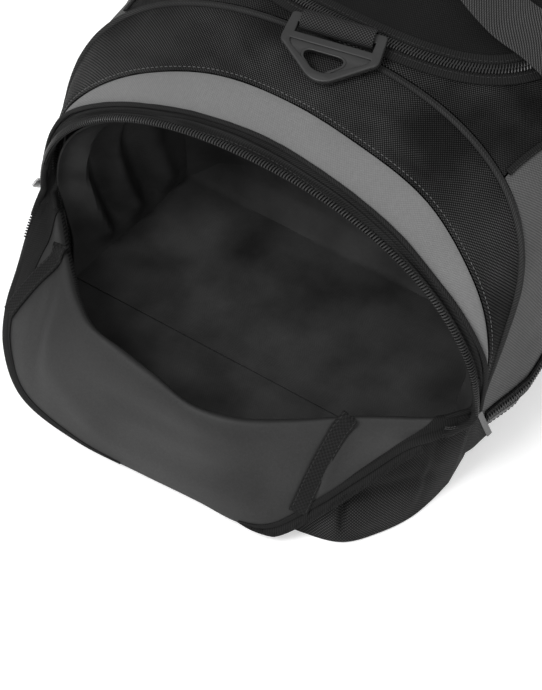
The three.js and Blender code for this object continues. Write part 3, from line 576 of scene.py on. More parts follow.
@dataclass(frozen=True)
class BodyForm:
    """Outside of the body: run 0 at the near seam to 1 at the far one, girth 0 on top."""

    length: float = 680.0
    near_half: float = 181.7
    mid_half_swell: float = 9.0
    near_top: float = 245.0
    far_top: float = 258.0
    mid_top_swell: float = 48.0
    widest_z: float = 149.0
    foot_half: float = 166.0
    corner_radius: float = 14.0
    arch_power: float = 2.5
    arch_share: float = 0.62
    near_set: float = -3.0
    near_lean: float = 100.7
    far_lean: float = 30.0
    trim_girth: float = 0.927
    shoulder_near: Pair = (0.331, 0.4)
    shoulder_girth: float = 0.372
    zip_girth: float = 0.267
    zip_front: float = 0.03
    zip_turn: float = 0.19
    zip_end: float = 0.972
    pipe_run: float = 0.006
    normal_step: float = 0.004
    girth_scale: float = 300.0
    side_rows: Table = (
        (23, 0.897), (52, 0.876), (76, 0.845), (100, 0.79), (130, 0.735),
        (170, 0.685), (230, 0.638), (285, 0.612), (340, 0.605),
    )

    @property
    def near_y(self) -> float:
        """Place of the near end."""
        return -self.length / 2

    @property
    def lid_middle(self) -> float:
        """Distance of the lid's middle from the near end."""
        return (self.near_set + self.near_lean + self.length - self.far_lean) / 2

    def profile(self, half: Array, top: Array, girth: Array) -> tuple[Array, Array]:
        """Place across and height of a cross-section.

        Args:
            half: half width at the widest level.
            top: height of the crown.
            girth: share round the section, below zero on the left.

        Returns:
            The two places.
        """
        share = np.abs(girth)
        power = 2 / self.arch_power
        angle = (1 - np.minimum(share / self.arch_share, 1)) * np.pi / 2
        arch_x = half * np.maximum(np.cos(angle), 0) ** power
        arch_z = self.widest_z + (top - self.widest_z) * np.maximum(np.sin(angle), 0) ** power
        rise = (1 - share) / (1 - self.arch_share)
        wall_x = self.foot_half + (half - self.foot_half) * np.sin(rise * np.pi / 2)
        wall_z = lerp(self.corner_radius, self.widest_z, rise)
        arch = share <= self.arch_share
        across = np.where(arch, arch_x, wall_x) * np.where(girth < 0, -1, 1)
        return across, np.where(arch, arch_z, wall_z)

    def run_ends(self, girth: Array) -> tuple[Array, Array]:
        """Distances of the near and far seams from the near end."""
        near, far = (self.profile(self.near_half, t, girth)[1] / t for t in (self.near_top, self.far_top))
        return self.near_set + self.near_lean * near**2, self.length - self.far_lean * far**2

    def point(self, run: Array, girth: Array) -> Array:
        """Points of the outside.

        Args:
            run: shares from the near seam to the far one.
            girth: shares round the section.

        Returns:
            One point for each pair.
        """
        run, girth = np.broadcast_arrays(np.asarray(run, float), np.asarray(girth, float))
        swell = np.sin(np.pi * np.clip(run, 0, 1))
        half = self.near_half + self.mid_half_swell * swell
        top = lerp(self.near_top, self.far_top, run) + self.mid_top_swell * swell
        x, z = self.profile(half, top, girth)
        near, far = self.run_ends(girth)
        inward = sum(dent.depth(run, girth) for dent in DENTS) * np.clip(4 * swell, 0, 1)
        lean = unit(np.stack([x / half, (z - self.widest_z / 2) / top], -1))
        y = self.near_y + lerp(near, far, run)
        return np.stack([x - lean[..., 0] * inward, y, z - lean[..., 1] * inward], -1)

    def normal(self, run: Array, girth: Array) -> Array:
        """Outward directions.

        Args:
            run: shares from the near seam to the far one.
            girth: shares round the section.

        Returns:
            One direction for each pair.
        """
        step = self.normal_step
        across = self.point(run, girth + step) - self.point(run, girth - step)
        along = self.point(run + step, girth) - self.point(run - step, girth)
        return unit(np.cross(across, along))

    def shoulder(self, run: Array, side: Array) -> Array:
        """Girth of the shoulder seam, whose near end climbs on the right and sags on the left."""
        near = np.where(np.asarray(side) > 0, *self.shoulder_near)
        return lerp(near, self.shoulder_girth, smooth(run, 0.0, 0.13))

    def run_at(self, y: Array, girth: Array) -> Array:
        """Run of a distance from the near end."""
        near, far = self.run_ends(girth)
        return (y - near) / (far - near)

    def path(self, run: Array, girth: Array) -> Frames:
        """Frames of a track on the outside."""
        return Frames.along(self.point(run, girth), self.normal(run, girth))

    def side_track(self, side: int, count: int) -> tuple[Array, Array]:
        """Run and girth of a side-pocket zip.

        Args:
            side: 1 for the right side, -1 for the left.
            count: points along it.

        Returns:
            The two rows of places.
        """
        rows = np.array(self.side_rows)
        y, girth = np.concatenate([rows, rows[-2::-1] * [-1, 1] + [self.length, 0]]).T
        made = spline(stacked(y, self.girth_scale * girth, 0.0), shares(count))
        girth = side * made[:, 1] / self.girth_scale
        return self.run_at(made[:, 0], girth), girth

    def zip_track(self, end: float, sides: int, front: int) -> tuple[Array, Array]:
        """Run and girth of the lid zip: up the left, round the front, down the right.

        Args:
            end: run where both sides stop.
            sides: steps along each side.
            front: steps round the front.

        Returns:
            The two rows of places.
        """
        along = np.linspace(end, self.zip_turn, sides + 1)
        angle = np.linspace(-np.pi / 2, np.pi / 2, front + 1)[1:-1]
        turn = self.zip_turn - (self.zip_turn - self.zip_front) * np.cos(angle)
        run = np.concatenate([along, turn, along[::-1]])
        left = np.full(sides + 1, -self.zip_girth)
        girth = np.concatenate([left, self.zip_girth * np.sin(angle), -left])
        return run, girth


def arched(angle: Array, power: float) -> tuple[Array, Array]:
    """Place across and height, both up to 1, of a squared arch from its right foot."""
    share, cos = 2 / power, np.cos(angle)
    return np.sign(cos) * np.abs(cos) ** share, np.maximum(np.sin(angle), 0) ** share


class EndForm:
    """Roof of the near end, between the end seam and the pocket's zip arch."""

    ARCH_HALF = 181.0
    ARCH_TOP = 215.4
    ARCH_FOOT = 82.5
    ARCH_ROUND = 2.2
    ARCH_TILT = 4.4
    ARCH_SIDE = -2.0
    BULGE = 0.05
    LOW = 0.03
    FINE = 2401
    CRESCENT = np.array(
        [
            [0.0, 0.66, 0.66], [0.11, 0.7, 0.72], [0.15, 0.69, 0.76], [0.2, 0.685, 0.83],
            [0.3, 0.625, 0.872], [0.4, 0.55, 0.853], [0.5, 0.538, 0.83], [0.6, 0.565, 0.85],
            [0.7, 0.56, 0.856], [0.8, 0.588, 0.848], [0.875, 0.545, 0.735],
            [0.925, 0.49, 0.575], [0.955, 0.5, 0.52], [1.0, 0.55, 0.55],
        ]
    )

    def __init__(self, body: BodyForm) -> None:
        """Draws the seam and the zip arch finely.

        Args:
            body: the body that the roof closes.
        """
        level = (self.ARCH_FOOT - body.corner_radius) / (body.widest_z - body.corner_radius)
        limit = 1 - (1 - body.arch_share) * level
        self.seam = Line(body.point(0.0, np.linspace(-limit, limit, self.FINE)))
        across, rise = arched(np.linspace(0, np.pi, self.FINE), self.ARCH_ROUND)
        y = self.ARCH_TILT * rise**2 + self.ARCH_SIDE * across**2
        z = lerp(self.ARCH_FOOT, self.ARCH_TOP, rise)
        self.zip = Line(stacked(-self.ARCH_HALF * across, body.near_y + y, z))

    def frames(self, along: Array) -> tuple[Array, Array, Array, Array, Array]:
        """Lines down the roof.

        Args:
            along: shares along the arch.

        Returns:
            Seam and zip points, width, outward and downward directions.
        """
        seam, zip_ = self.seam.at(along), self.zip.at(along)
        width = np.linalg.norm(zip_ - seam, axis=-1)
        slope = unit(zip_ - seam)
        out = unit(np.cross(slope, self.seam.tangent(along)))
        return seam, zip_, width, out, slope

    def edge(self, along: Array, column: int) -> Array:
        """Edge of the crescent.

        Args:
            along: shares along the arch.
            column: 1 for the upper edge, 2 for the lower one.

        Returns:
            Shares from seam to zip.
        """
        rows = self.CRESCENT
        slope = np.gradient(rows[:, column], rows[:, 0])
        after = np.clip(np.searchsorted(rows[:, 0], along), 1, len(rows) - 1)
        low, high = rows[after - 1], rows[after]
        span = high[..., 0] - low[..., 0]
        t = (along - low[..., 0]) / span
        straight = lerp(low[..., column], high[..., column], smooth(t))
        bend = slope[after - 1] * (1 - t) - slope[after] * t
        return straight + span * t * (1 - t) * bend

    def grid(self, along: Array, share: Array, lift: Array) -> Array:
        """Points of the roof.

        Args:
            along: places along the arch, one a column.
            share: shares from seam to zip, rows by columns.
            lift: height over the roof at each.

        Returns:
            A grid of points.
        """
        seam, zip_, width, out, _ = self.frames(along)
        bulge = self.BULGE * width * np.sin(np.pi * share) + lift
        return seam[None] + (zip_ - seam)[None] * share[..., None] + out[None] * bulge[..., None]

    def coords(self, along: Array, share: Array) -> Array:
        """Cloth coordinates: along the seam and down the slope."""
        u = (along - 0.5) * self.seam.length
        return stacked(u, share * self.frames(along)[2])


class PocketForm:
    """Pocket front: up from its foot, over its lip, down to its hanging edge."""

    ROWS = np.array(
        [
            [-165.5, -6, -176, 1.5, 80, -181, -6, 80],
            [-164, -28, -160, -15, 84, -176, -23, 77],
            [-160, -52, -137, -39, 86, -165, -56, 62],
            [-150, -72, -117, -58, 85, -157, -82, 47],
            [-132, -88, -100, -73, 84, -146, -101, 32],
            [-104, -97, -80, -85, 82, -118, -120, 15],
            [-60, -100, -50, -90, 80, -64, -126, 7],
            [-15, -101, -20, -94, 78, -15, -124, 7],
            [30, -101, 18, -99, 76, 35, -121, 7],
            [72, -100, 50, -91, 76, 70, -121, 9],
            [108, -97, 80, -73, 77, 92, -116, 14],
            [134, -89, 111, -50, 79, 114, -95, 30],
            [150, -68, 133, -36, 80, 136, -68, 52],
            [160, -46, 152, -25, 81, 154, -44, 69],
            [164, -25, 164, -16, 81, 171, -27, 77],
            [165.5, -6, 176, 1.5, 80, 181, -6, 80],
        ]
    )
    LIP_RADIUS = 6.0
    LIP_SHARE = 0.35
    WALL_BULGE = 4.0
    HANG_BULGE = 3.0
    LIP_FALL = 0.7
    THIRDS = (0.33, 0.67)
    FLOOR_LIFT = 0.8
    STEP = 0.01
    MARGIN = 0.45

    def __init__(self, near_y: float) -> None:
        """Works out the section at each row."""
        self.near_y = near_y
        self.sections = np.array([self.section(row) for row in self.ROWS])

    def section(self, row: Array) -> Array:
        """One section, from foot to edge.

        Args:
            row: foot, lip and edge.

        Returns:
            Its nine points.
        """
        shift = np.array([0.0, self.near_y, 0.0])
        foot = np.array([row[0], row[1], self.FLOOR_LIFT]) + shift
        lip, edge = row[2:5] + shift, row[5:8] + shift
        out = unit((edge - lip) * np.array([1.0, 1.0, 0.0]))
        radius = min(self.LIP_RADIUS, self.LIP_SHARE * float(np.linalg.norm(edge - lip)))
        down = np.array([0.0, 0.0, -radius])
        inside = lip - out * radius + down
        outside = lip + out * radius + self.LIP_FALL * down
        wall = [lerp(foot, inside, s) + out * self.WALL_BULGE for s in self.THIRDS]
        hang = [lerp(outside, edge, s) + out * self.HANG_BULGE for s in self.THIRDS]
        return np.array([foot, *wall, inside, lip, outside, *hang, edge])

    def lines(self, along: Array) -> Array:
        """Sections at places across the front."""
        return np.stack([spline(line, along) for line in self.sections.swapaxes(0, 1)], 1)

    def grid(self, along: Array, down: Array) -> Array:
        """Points for rows of down and columns of along."""
        return np.stack([spline(section, down) for section in self.lines(along)], 1)

    def margin(self, along: Array, inset: Array) -> Array:
        """Points of the flap at distances up from its hanging edge.

        Args:
            along: places across the front, one a column.
            inset: distances from the edge, rows by columns.

        Returns:
            A grid of points.
        """
        fine = self.grid(along, np.linspace(1, self.MARGIN, 90))
        columns = zip(inset.T, running(fine).T, fine.swapaxes(0, 1))
        made = [[np.interp(at, run, axis) for axis in line.T] for at, run, line in columns]
        return np.array(made).transpose(2, 0, 1)

    def track(self, along: Array, down: Array) -> Frames:
        """Frames of a path over the front, side downwards where it runs across.

        Args:
            along: places across the front.
            down: places down the section.

        Returns:
            Frames whose up is the outward direction.
        """

        def spot(a: Array, d: Array) -> Array:
            """Points at places across and down."""
            return np.concatenate([spline(s, d[i : i + 1]) for i, s in enumerate(self.lines(a))])

        step = self.STEP
        across = spot(np.minimum(along + step, 1), down) - spot(np.maximum(along - step, 0), down)
        fall = spot(along, np.minimum(down + step, 1)) - spot(along, np.maximum(down - step, 0))
        return Frames.along(spot(along, down), unit(np.cross(fall, across)))


@dataclass(frozen=True)
class Crease:
    """A soft ridge in a sheet, or a furrow where its height is below zero."""

    u: float
    v: float
    turn: float
    length: float
    width: float
    height: float


def creased(u: Array, v: Array, creases: Sequence[Crease]) -> Array:
    """Summed height of creases over a sheet.

    Args:
        u: first cloth coordinate at each point.
        v: second cloth coordinate at each point.
        creases: the ridges and furrows.

    Returns:
        Height at each point, in millimetres.
    """
    height = np.zeros(np.broadcast(u, v).shape)
    for c in creases:
        cos, sin = math.cos(math.radians(c.turn)), math.sin(math.radians(c.turn))
        along = cos * (u - c.u) + sin * (v - c.v)
        across = cos * (v - c.v) - sin * (u - c.u)
        height = height + c.height * bell(along, 0, c.length) * bell(across, 0, c.width)
    return height


# Finishes


class Held(Enum):
    """How a cut of cloth is held."""

    STRETCHED = "stretched"
    HUNG = "hung"
    LAID = "laid"
    FOLDED = "folded"


class Weave(Enum):
    """How the yarns of a cloth or tape cross."""

    PLAIN = "plain"
    DIAMOND = "diamond"
    TWILL = "twill"
    RIB = "rib"
    BASKET = "basket"
    SMOOTH = "smooth"


GRAIN = 900.0
LINT = 420.0
CRISP = 1.6
# Share of the colour kept where the painted height shade is full.
SHADE_KEPT = 0.25


class Graph:
    """A short way to lay out the shader nodes of one material."""

    def __init__(self, name: str) -> None:
        """Makes the material with its surface shader.

        Args:
            name: the material's name.
        """
        self.material = bpy.data.materials.new(name)
        self.material.use_nodes = True
        self.tree = self.material.node_tree
        self.shader = self.tree.nodes["Principled BSDF"]

    def feed(self, socket: Socket, value: object) -> None:
        """Sets or links an input.

        Args:
            socket: the input.
            value: a number, a colour or an output.
        """
        if isinstance(value, Socket):
            self.tree.links.new(value, socket)
        else:
            socket.default_value = value

    def fill(self, node: bpy.types.Node, **inputs: object) -> bpy.types.Node:
        """Feeds the inputs of a node.

        Args:
            node: the node.
            inputs: what each takes, named with _ for spaces.

        Returns:
            The same node.
        """
        for key, value in inputs.items():
            self.feed(node.inputs[key.replace("_", " ")], value)
        return node

    def add(self, kind: str, **inputs: object) -> bpy.types.Node:
        """Adds a node and feeds its inputs."""
        return self.fill(self.tree.nodes.new(kind), **inputs)

    def sum(self, operation: str, a: object, b: object = 0.0) -> Socket:
        """Result of one sum.

        Args:
            operation: the sum's name.
            a: first output or number.
            b: second output or number.

        Returns:
            The result's output.
        """
        node = self.add("ShaderNodeMath")
        node.operation = operation
        for socket, value in zip(node.inputs, (a, b)):
            self.feed(socket, value)
        return node.outputs[0]

    def times(self, a: object, b: object) -> Socket:
        """Product of two outputs or numbers."""
        return self.sum("MULTIPLY", a, b)

    def fit(self, value: Socket, scale: float, shift: float) -> Socket:
        """A value scaled and then shifted."""
        return self.sum("ADD", self.times(value, scale), shift)

    def wave(self, place: object, ridge: bool = False) -> Socket:
        """Sine of half turns of a place, without sign where it is a ridge."""
        turn = self.sum("SINE", self.times(place, math.pi))
        return self.sum("ABSOLUTE", turn) if ridge else turn

    def cloth_axes(self, pitch: float) -> list[Socket]:
        """Both cloth coordinates.

        Args:
            pitch: length that they are counted in, in millimetres.

        Returns:
            Their outputs.
        """
        coords = self.add("ShaderNodeUVMap")
        coords.uv_map = COORDS
        split = self.add("ShaderNodeSeparateXYZ", Vector=coords.outputs[0])
        return [self.times(axis, 1.0 / (pitch * MM)) for axis in split.outputs[:2]]

    def noise(self, scale: float, detail: float = 3.0, seed: float = 0.0) -> Socket:
        """Cloudy value from 0 to 1 in object space.

        Args:
            scale: waves a metre.
            detail: finer waves laid over them.
            seed: shift that makes one cloud unlike the next.

        Returns:
            The value's output.
        """
        coords = self.add("ShaderNodeTexCoord")
        made = self.add("ShaderNodeTexNoise")
        made.noise_dimensions = "4D"
        self.fill(made, Vector=coords.outputs["Object"], Scale=scale, Detail=detail, W=seed)
        return made.outputs["Fac"]

    def dust(self, low: float, high: float) -> Socket:
        """Painted shade: share of a cloth's colour kept at each height, less higher up.

        Args:
            low: height in metres up to which all of the colour is kept.
            high: height from which only a little is kept.

        Returns:
            The share's output.
        """
        coords = self.add("ShaderNodeTexCoord")
        split = self.add("ShaderNodeSeparateXYZ", Vector=coords.outputs["Object"])
        ends = {"From_Min": low, "From_Max": high, "To_Min": 1.0, "To_Max": SHADE_KEPT}
        return self.add("ShaderNodeMapRange", Value=split.outputs[2], **ends).outputs[0]

    def weave(self, kind: Weave, pitch: float) -> Socket:
        """Height of a weave from 0 in its gaps to 1 on its yarns.

        Args:
            kind: how the yarns cross.
            pitch: distance of the yarns, in millimetres.

        Returns:
            The height's output.
        """
        a, b = self.cloth_axes(pitch)
        if kind is Weave.PLAIN:
            return self.fit(self.times(self.wave(a), self.wave(b)), 0.5, 0.5)
        if kind is Weave.DIAMOND:
            rise, fall = self.sum("ADD", a, b), self.sum("SUBTRACT", a, b)
            return self.times(self.wave(rise, True), self.wave(fall, True))
        if kind is Weave.TWILL:
            cross = self.wave(self.times(a, 2.0), True)
            return self.times(self.wave(self.sum("ADD", a, b), True), self.fit(cross, 0.4, 0.6))
        if kind is Weave.RIB:
            yarn = self.wave(self.times(b, 2.0), True)
            return self.times(self.wave(a, True), self.fit(yarn, 0.35, 0.65))
        if kind is Weave.BASKET:
            turn = self.sum("GREATER_THAN", self.times(self.wave(a), self.wave(b)), 0.0)
            warp, weft = (self.wave(self.times(axis, 3.0), True) for axis in (a, b))
            other = self.times(self.sum("SUBTRACT", 1.0, turn), 0.3)
            return self.sum("ADD", self.times(warp, turn), self.times(weft, other))
        return self.noise(GRAIN, 2.0)


def linear(level: float) -> float:
    """Light of a grey level seen on a screen, 0 to 255."""
    share = level / 255.0
    return share / 12.92 if share <= 0.04045 else ((share + 0.055) / 1.055) ** 2.4


@dataclass(frozen=True)
class Finish:
    """A surface: its grey, its weave or grain and its gloss."""

    slot: str
    name: str
    level: float
    weave: Weave = Weave.SMOOTH
    pitch: float = 1.0
    depth: float = 0.1
    groove: float = 0.4
    mottle: float = 0.25
    patch: float = 18.0
    roughness: float = 0.8
    metal: float = 0.0
    specular: float = 0.12
    shade_from: float = 0.0
    shade_to: float = 0.0
    seed: float = 0.0

    def make(self) -> bpy.types.Material:
        """Lays out the material.

        Returns:
            The material, made once for each name.
        """
        known = bpy.data.materials.get(self.name)
        if known is not None:
            return known
        graph = Graph(self.name)
        height = graph.weave(self.weave, self.pitch)
        cloud = graph.noise(self.patch, seed=self.seed)
        lint = graph.noise(LINT, 2.0)
        # Painted shade in a weave's gaps and painted highlight on its yarn tops; on smooth finishes the
        # same line follows their grain.
        shade = graph.fit(graph.sum("POWER", height, CRISP), 2 * self.groove, 1 - self.groove)
        # Patchy tone from the noise cloud: random mottle, and painted sheen where it is strong, as on the
        # black weave.
        swing = 2.2 * self.mottle
        mottle_sheen_shade = graph.sum("MAXIMUM", graph.fit(cloud, 2 * swing, 1 - swing), 0.4)
        # Painted shade: the colour darkens with height between shade_from and shade_to.
        if self.shade_to:
            mottle_sheen_shade = graph.times(mottle_sheen_shade, graph.dust(self.shade_from, self.shade_to))
        tone = graph.times(graph.times(shade, mottle_sheen_shade), graph.fit(lint, 0.24, 0.88))
        grey = graph.times(tone, linear(self.level))
        mix = graph.add("ShaderNodeCombineColor", Red=grey, Green=grey, Blue=grey)
        relief = graph.sum("ADD", height, graph.times(lint, 0.3))
        bump = graph.add("ShaderNodeBump", Strength=1.0, Distance=self.depth * MM, Height=relief)
        graph.fill(
            graph.shader,
            Base_Color=mix.outputs[0],
            Roughness=graph.fit(cloud, 0.16, self.roughness - 0.08),
            Normal=bump.outputs[0],
            Metallic=self.metal,
            Specular_IOR_Level=self.specular,
        )
        return graph.material

    def dress(self, obj: Piece) -> None:
        """Puts the finish on a piece.

        Args:
            obj: the piece.
        """
        obj.data.materials.clear()
        obj.data.materials.append(self.make())


# Painted sheen: the strong mottle, its patches placed by the seed, lightens and darkens broad patches of
# this black weave.
BLACK_WEAVE = Finish(
    "black_weave", "black_dobby", 44, Weave.DIAMOND, 2.1, 0.3, 0.95, 1.0, 13.0,
    roughness=0.6, specular=0.06, seed=1.3,
)
# Painted shade: a darker copy of the black weave for the lid, where less light falls.
SHADED_LID_WEAVE = Finish("black_weave", "black_lid_weave", 22, Weave.DIAMOND, 2.0, 0.2, 0.5, 0.35)
BASE_WEAVE = Finish("black_weave", "black_base_weave", 43, Weave.DIAMOND, 2.2, 0.4, 0.85, 0.6)
GREY_WEAVE = Finish("grey_weave", "grey_plain_weave", 80, Weave.PLAIN, 1.0, 0.2, 0.45, 0.14)
PALE_WEAVE = Finish("pale_weave", "pale_fine_weave", 107, Weave.PLAIN, 0.9, 0.1, 0.15, 0.06)
# Painted shade and sheen: the flap's colour darkens with height up to 0.2 m, and its mottle adds patchy
# sheen.
COATED = Finish(
    "coated_cloth", "coated_grey", 54, depth=0.05, groove=0.2, mottle=0.42, patch=8.0,
    roughness=0.5, shade_to=0.2,
)
# Painted shade and sheen: the lining's colour darkens above 0.12 m, shading its roof, and its mottle adds
# blotchy sheen.
LINING = Finish(
    "lining_cloth", "black_lining", 50, Weave.PLAIN, 0.9, 0.05, 0.12, 0.6,
    roughness=0.6, specular=0.06, shade_from=0.12, shade_to=0.18,
)
TAPE = Finish("black_tape", "basket_tape", 34, Weave.BASKET, 1.5, 0.3, 0.6)
ZIP_TAPE = Finish("black_tape", "ribbed_zip_tape", 27, Weave.RIB, 1.7, 0.2, 0.6)
RIM_CLOTH = Finish("black_weave", "black_rim_twill", 29, Weave.TWILL, 2.2, 0.2, 0.5)
PIPING = Finish("black_weave", "black_piping", 42, Weave.TWILL, 2.2, 0.15, 0.6)
STRAP = Finish("webbing", "twill_webbing", 57, Weave.TWILL, 2.4, 0.35, 0.9, 0.16)
LOOP = Finish("webbing", "ribbed_webbing", 47, Weave.PLAIN, 1.15, 0.4, 0.95, 0.12)
COIL = Finish("zip_coil", "coil_nylon", 35, depth=0.02, groove=0.1, roughness=0.38, specular=0.45)
# Painted shade: a darker, duller copy of the coil nylon for the teeth that hang low on the flap's edge.
SHADED_COIL = Finish("zip_coil", "dark_coil_nylon", 22, depth=0.02, groove=0.1, roughness=0.6)
THREAD = Finish("pale_weave", "pale_thread", 92, Weave.RIB, 0.4, 0.05, 0.3, roughness=0.6)
DARK_THREAD = Finish("black_tape", "black_thread", 46, Weave.RIB, 0.4, 0.05, 0.3, roughness=0.6)
RING_PLASTIC = Finish(
    "ring_plastic", "moulded_plastic", 42, depth=0.05, groove=0.08, roughness=0.45, specular=0.35
)
HOUSING_PLASTIC = Finish(
    "housing_plastic", "grained_plastic", 40, depth=0.12, groove=0.2, specular=0.3
)
RUBBER = Finish("wheel_rubber", "black_rubber", 36, depth=0.08, groove=0.15, roughness=0.72)
NICKEL = Finish(
    "slider_metal", "nickel", 200, depth=0.01, groove=0.05, roughness=0.4, metal=1.0, specular=0.5
)


@dataclass(frozen=True)
class Stitch:
    """A kind of stitch, with its thread, in millimetres."""

    finish: Finish = DARK_THREAD
    pitch: float = 3.6
    length: float = 2.5
    radius: float = 0.32


EDGE_STITCH = Stitch()
PALE_STITCH = Stitch(THREAD, 3.6, 2.0, 0.3)
TACK_STITCH = Stitch(THREAD, 1.9, 1.2, 0.3)


# Sub-assemblies


class Assembly:
    """Pieces of the bag that belong together."""

    body: str = "bag"

    def keep(
        self, kit: MeshKit, name: str, finish: Finish, nodes: Sequence[str] = (), body: str | None = None
    ) -> Piece:
        """Builds a gathered piece, dresses it and sets it on its body.

        Args:
            kit: the gathered mesh.
            name: the piece's name.
            finish: its surface.
            nodes: CAD nodes that it stands for.
            body: body that it rides on, or None for the assembly's own.

        Returns:
            The piece.
        """
        obj = kit.build(name)
        finish.dress(obj)
        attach(obj, body or self.body)
        if nodes:
            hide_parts(*nodes)
        LOG.info("%s: %d faces", name, len(obj.data.polygons))
        return obj

    def strip(
        self,
        frames: Frames,
        section: Array,
        name: str,
        finish: Finish,
        nodes: Sequence[str] = (),
        scale: Array | None = None,
    ) -> Piece:
        """Builds a piece of one section carried along frames.

        Args:
            frames: the path.
            section: corners of the section.
            name: the piece's name.
            finish: its surface.
            nodes: CAD nodes that it stands for.
            scale: size of the section at each frame, or None for an even one.

        Returns:
            The piece.
        """
        kit = MeshKit()
        kit.sweep(frames, section, scale)
        return self.keep(kit, name, finish, nodes)

    def coil(
        self,
        frames: Frames,
        reach: float,
        name: str,
        finish: Finish,
        nodes: Sequence[str] = (),
        pitch: float = 2.1,
        both: bool = False,
    ) -> None:
        """Builds the coil teeth of a zip.

        Args:
            frames: middle line of the zip, on the face of its tape.
            reach: how far the coil stands from the middle.
            name: the piece's name.
            finish: its surface.
            nodes: CAD nodes that it stands for.
            pitch: distance of the teeth.
            both: whether both rows are there, as on a closed zip.
        """
        kit, tooth = MeshKit(), coil_tooth(reach)
        first = frames.spaced(pitch)
        kit.copies(tooth, first.point, first.axes())
        if both:
            second = frames.spaced(pitch, pitch / 2)
            kit.copies(tooth, second.point, second.axes(flip=True))
        self.keep(kit, name, finish, nodes)

    def panel(
        self,
        grid: Array,
        thickness: float,
        name: str,
        finish: Finish,
        nodes: Sequence[str],
        held: Held = Held.STRETCHED,
        rests_on: Sequence[str] = (),
        coords: Array | None = None,
        ring: bool = False,
    ) -> Piece:
        """Args:
            grid: points of the face that shows.
            thickness: thickness of the cloth.
            name: the piece's name.
            finish: its surface.
            nodes: CAD nodes that it stands for.
            held: how the cloth is held; not used.
            rests_on: pieces or nodes that carry it; not used.
            coords: cloth coordinates, or None for running lengths.
            ring: whether its last column meets its first.

        Returns:
            The piece.
        """
        kit = MeshKit()
        kit.sheet(grid, thickness, coords, ring)
        obj = self.keep(kit, name, finish, nodes)
        width, length, area = kit.flat
        area = min(area, width * length)
        return obj

    def seam(self, frames: Frames, name: str, stitch: Stitch = EDGE_STITCH) -> None:
        """Sews a row of stitches along frames.

        Args:
            frames: path on the cloth.
            name: the row's name.
            stitch: the kind of stitch.
        """
        spots, kit = frames.spaced(stitch.pitch, stitch.pitch), MeshKit()
        kit.copies(thread_stitch(stitch.length, stitch.radius), spots.point, spots.axes())
        self.keep(kit, name, stitch.finish)


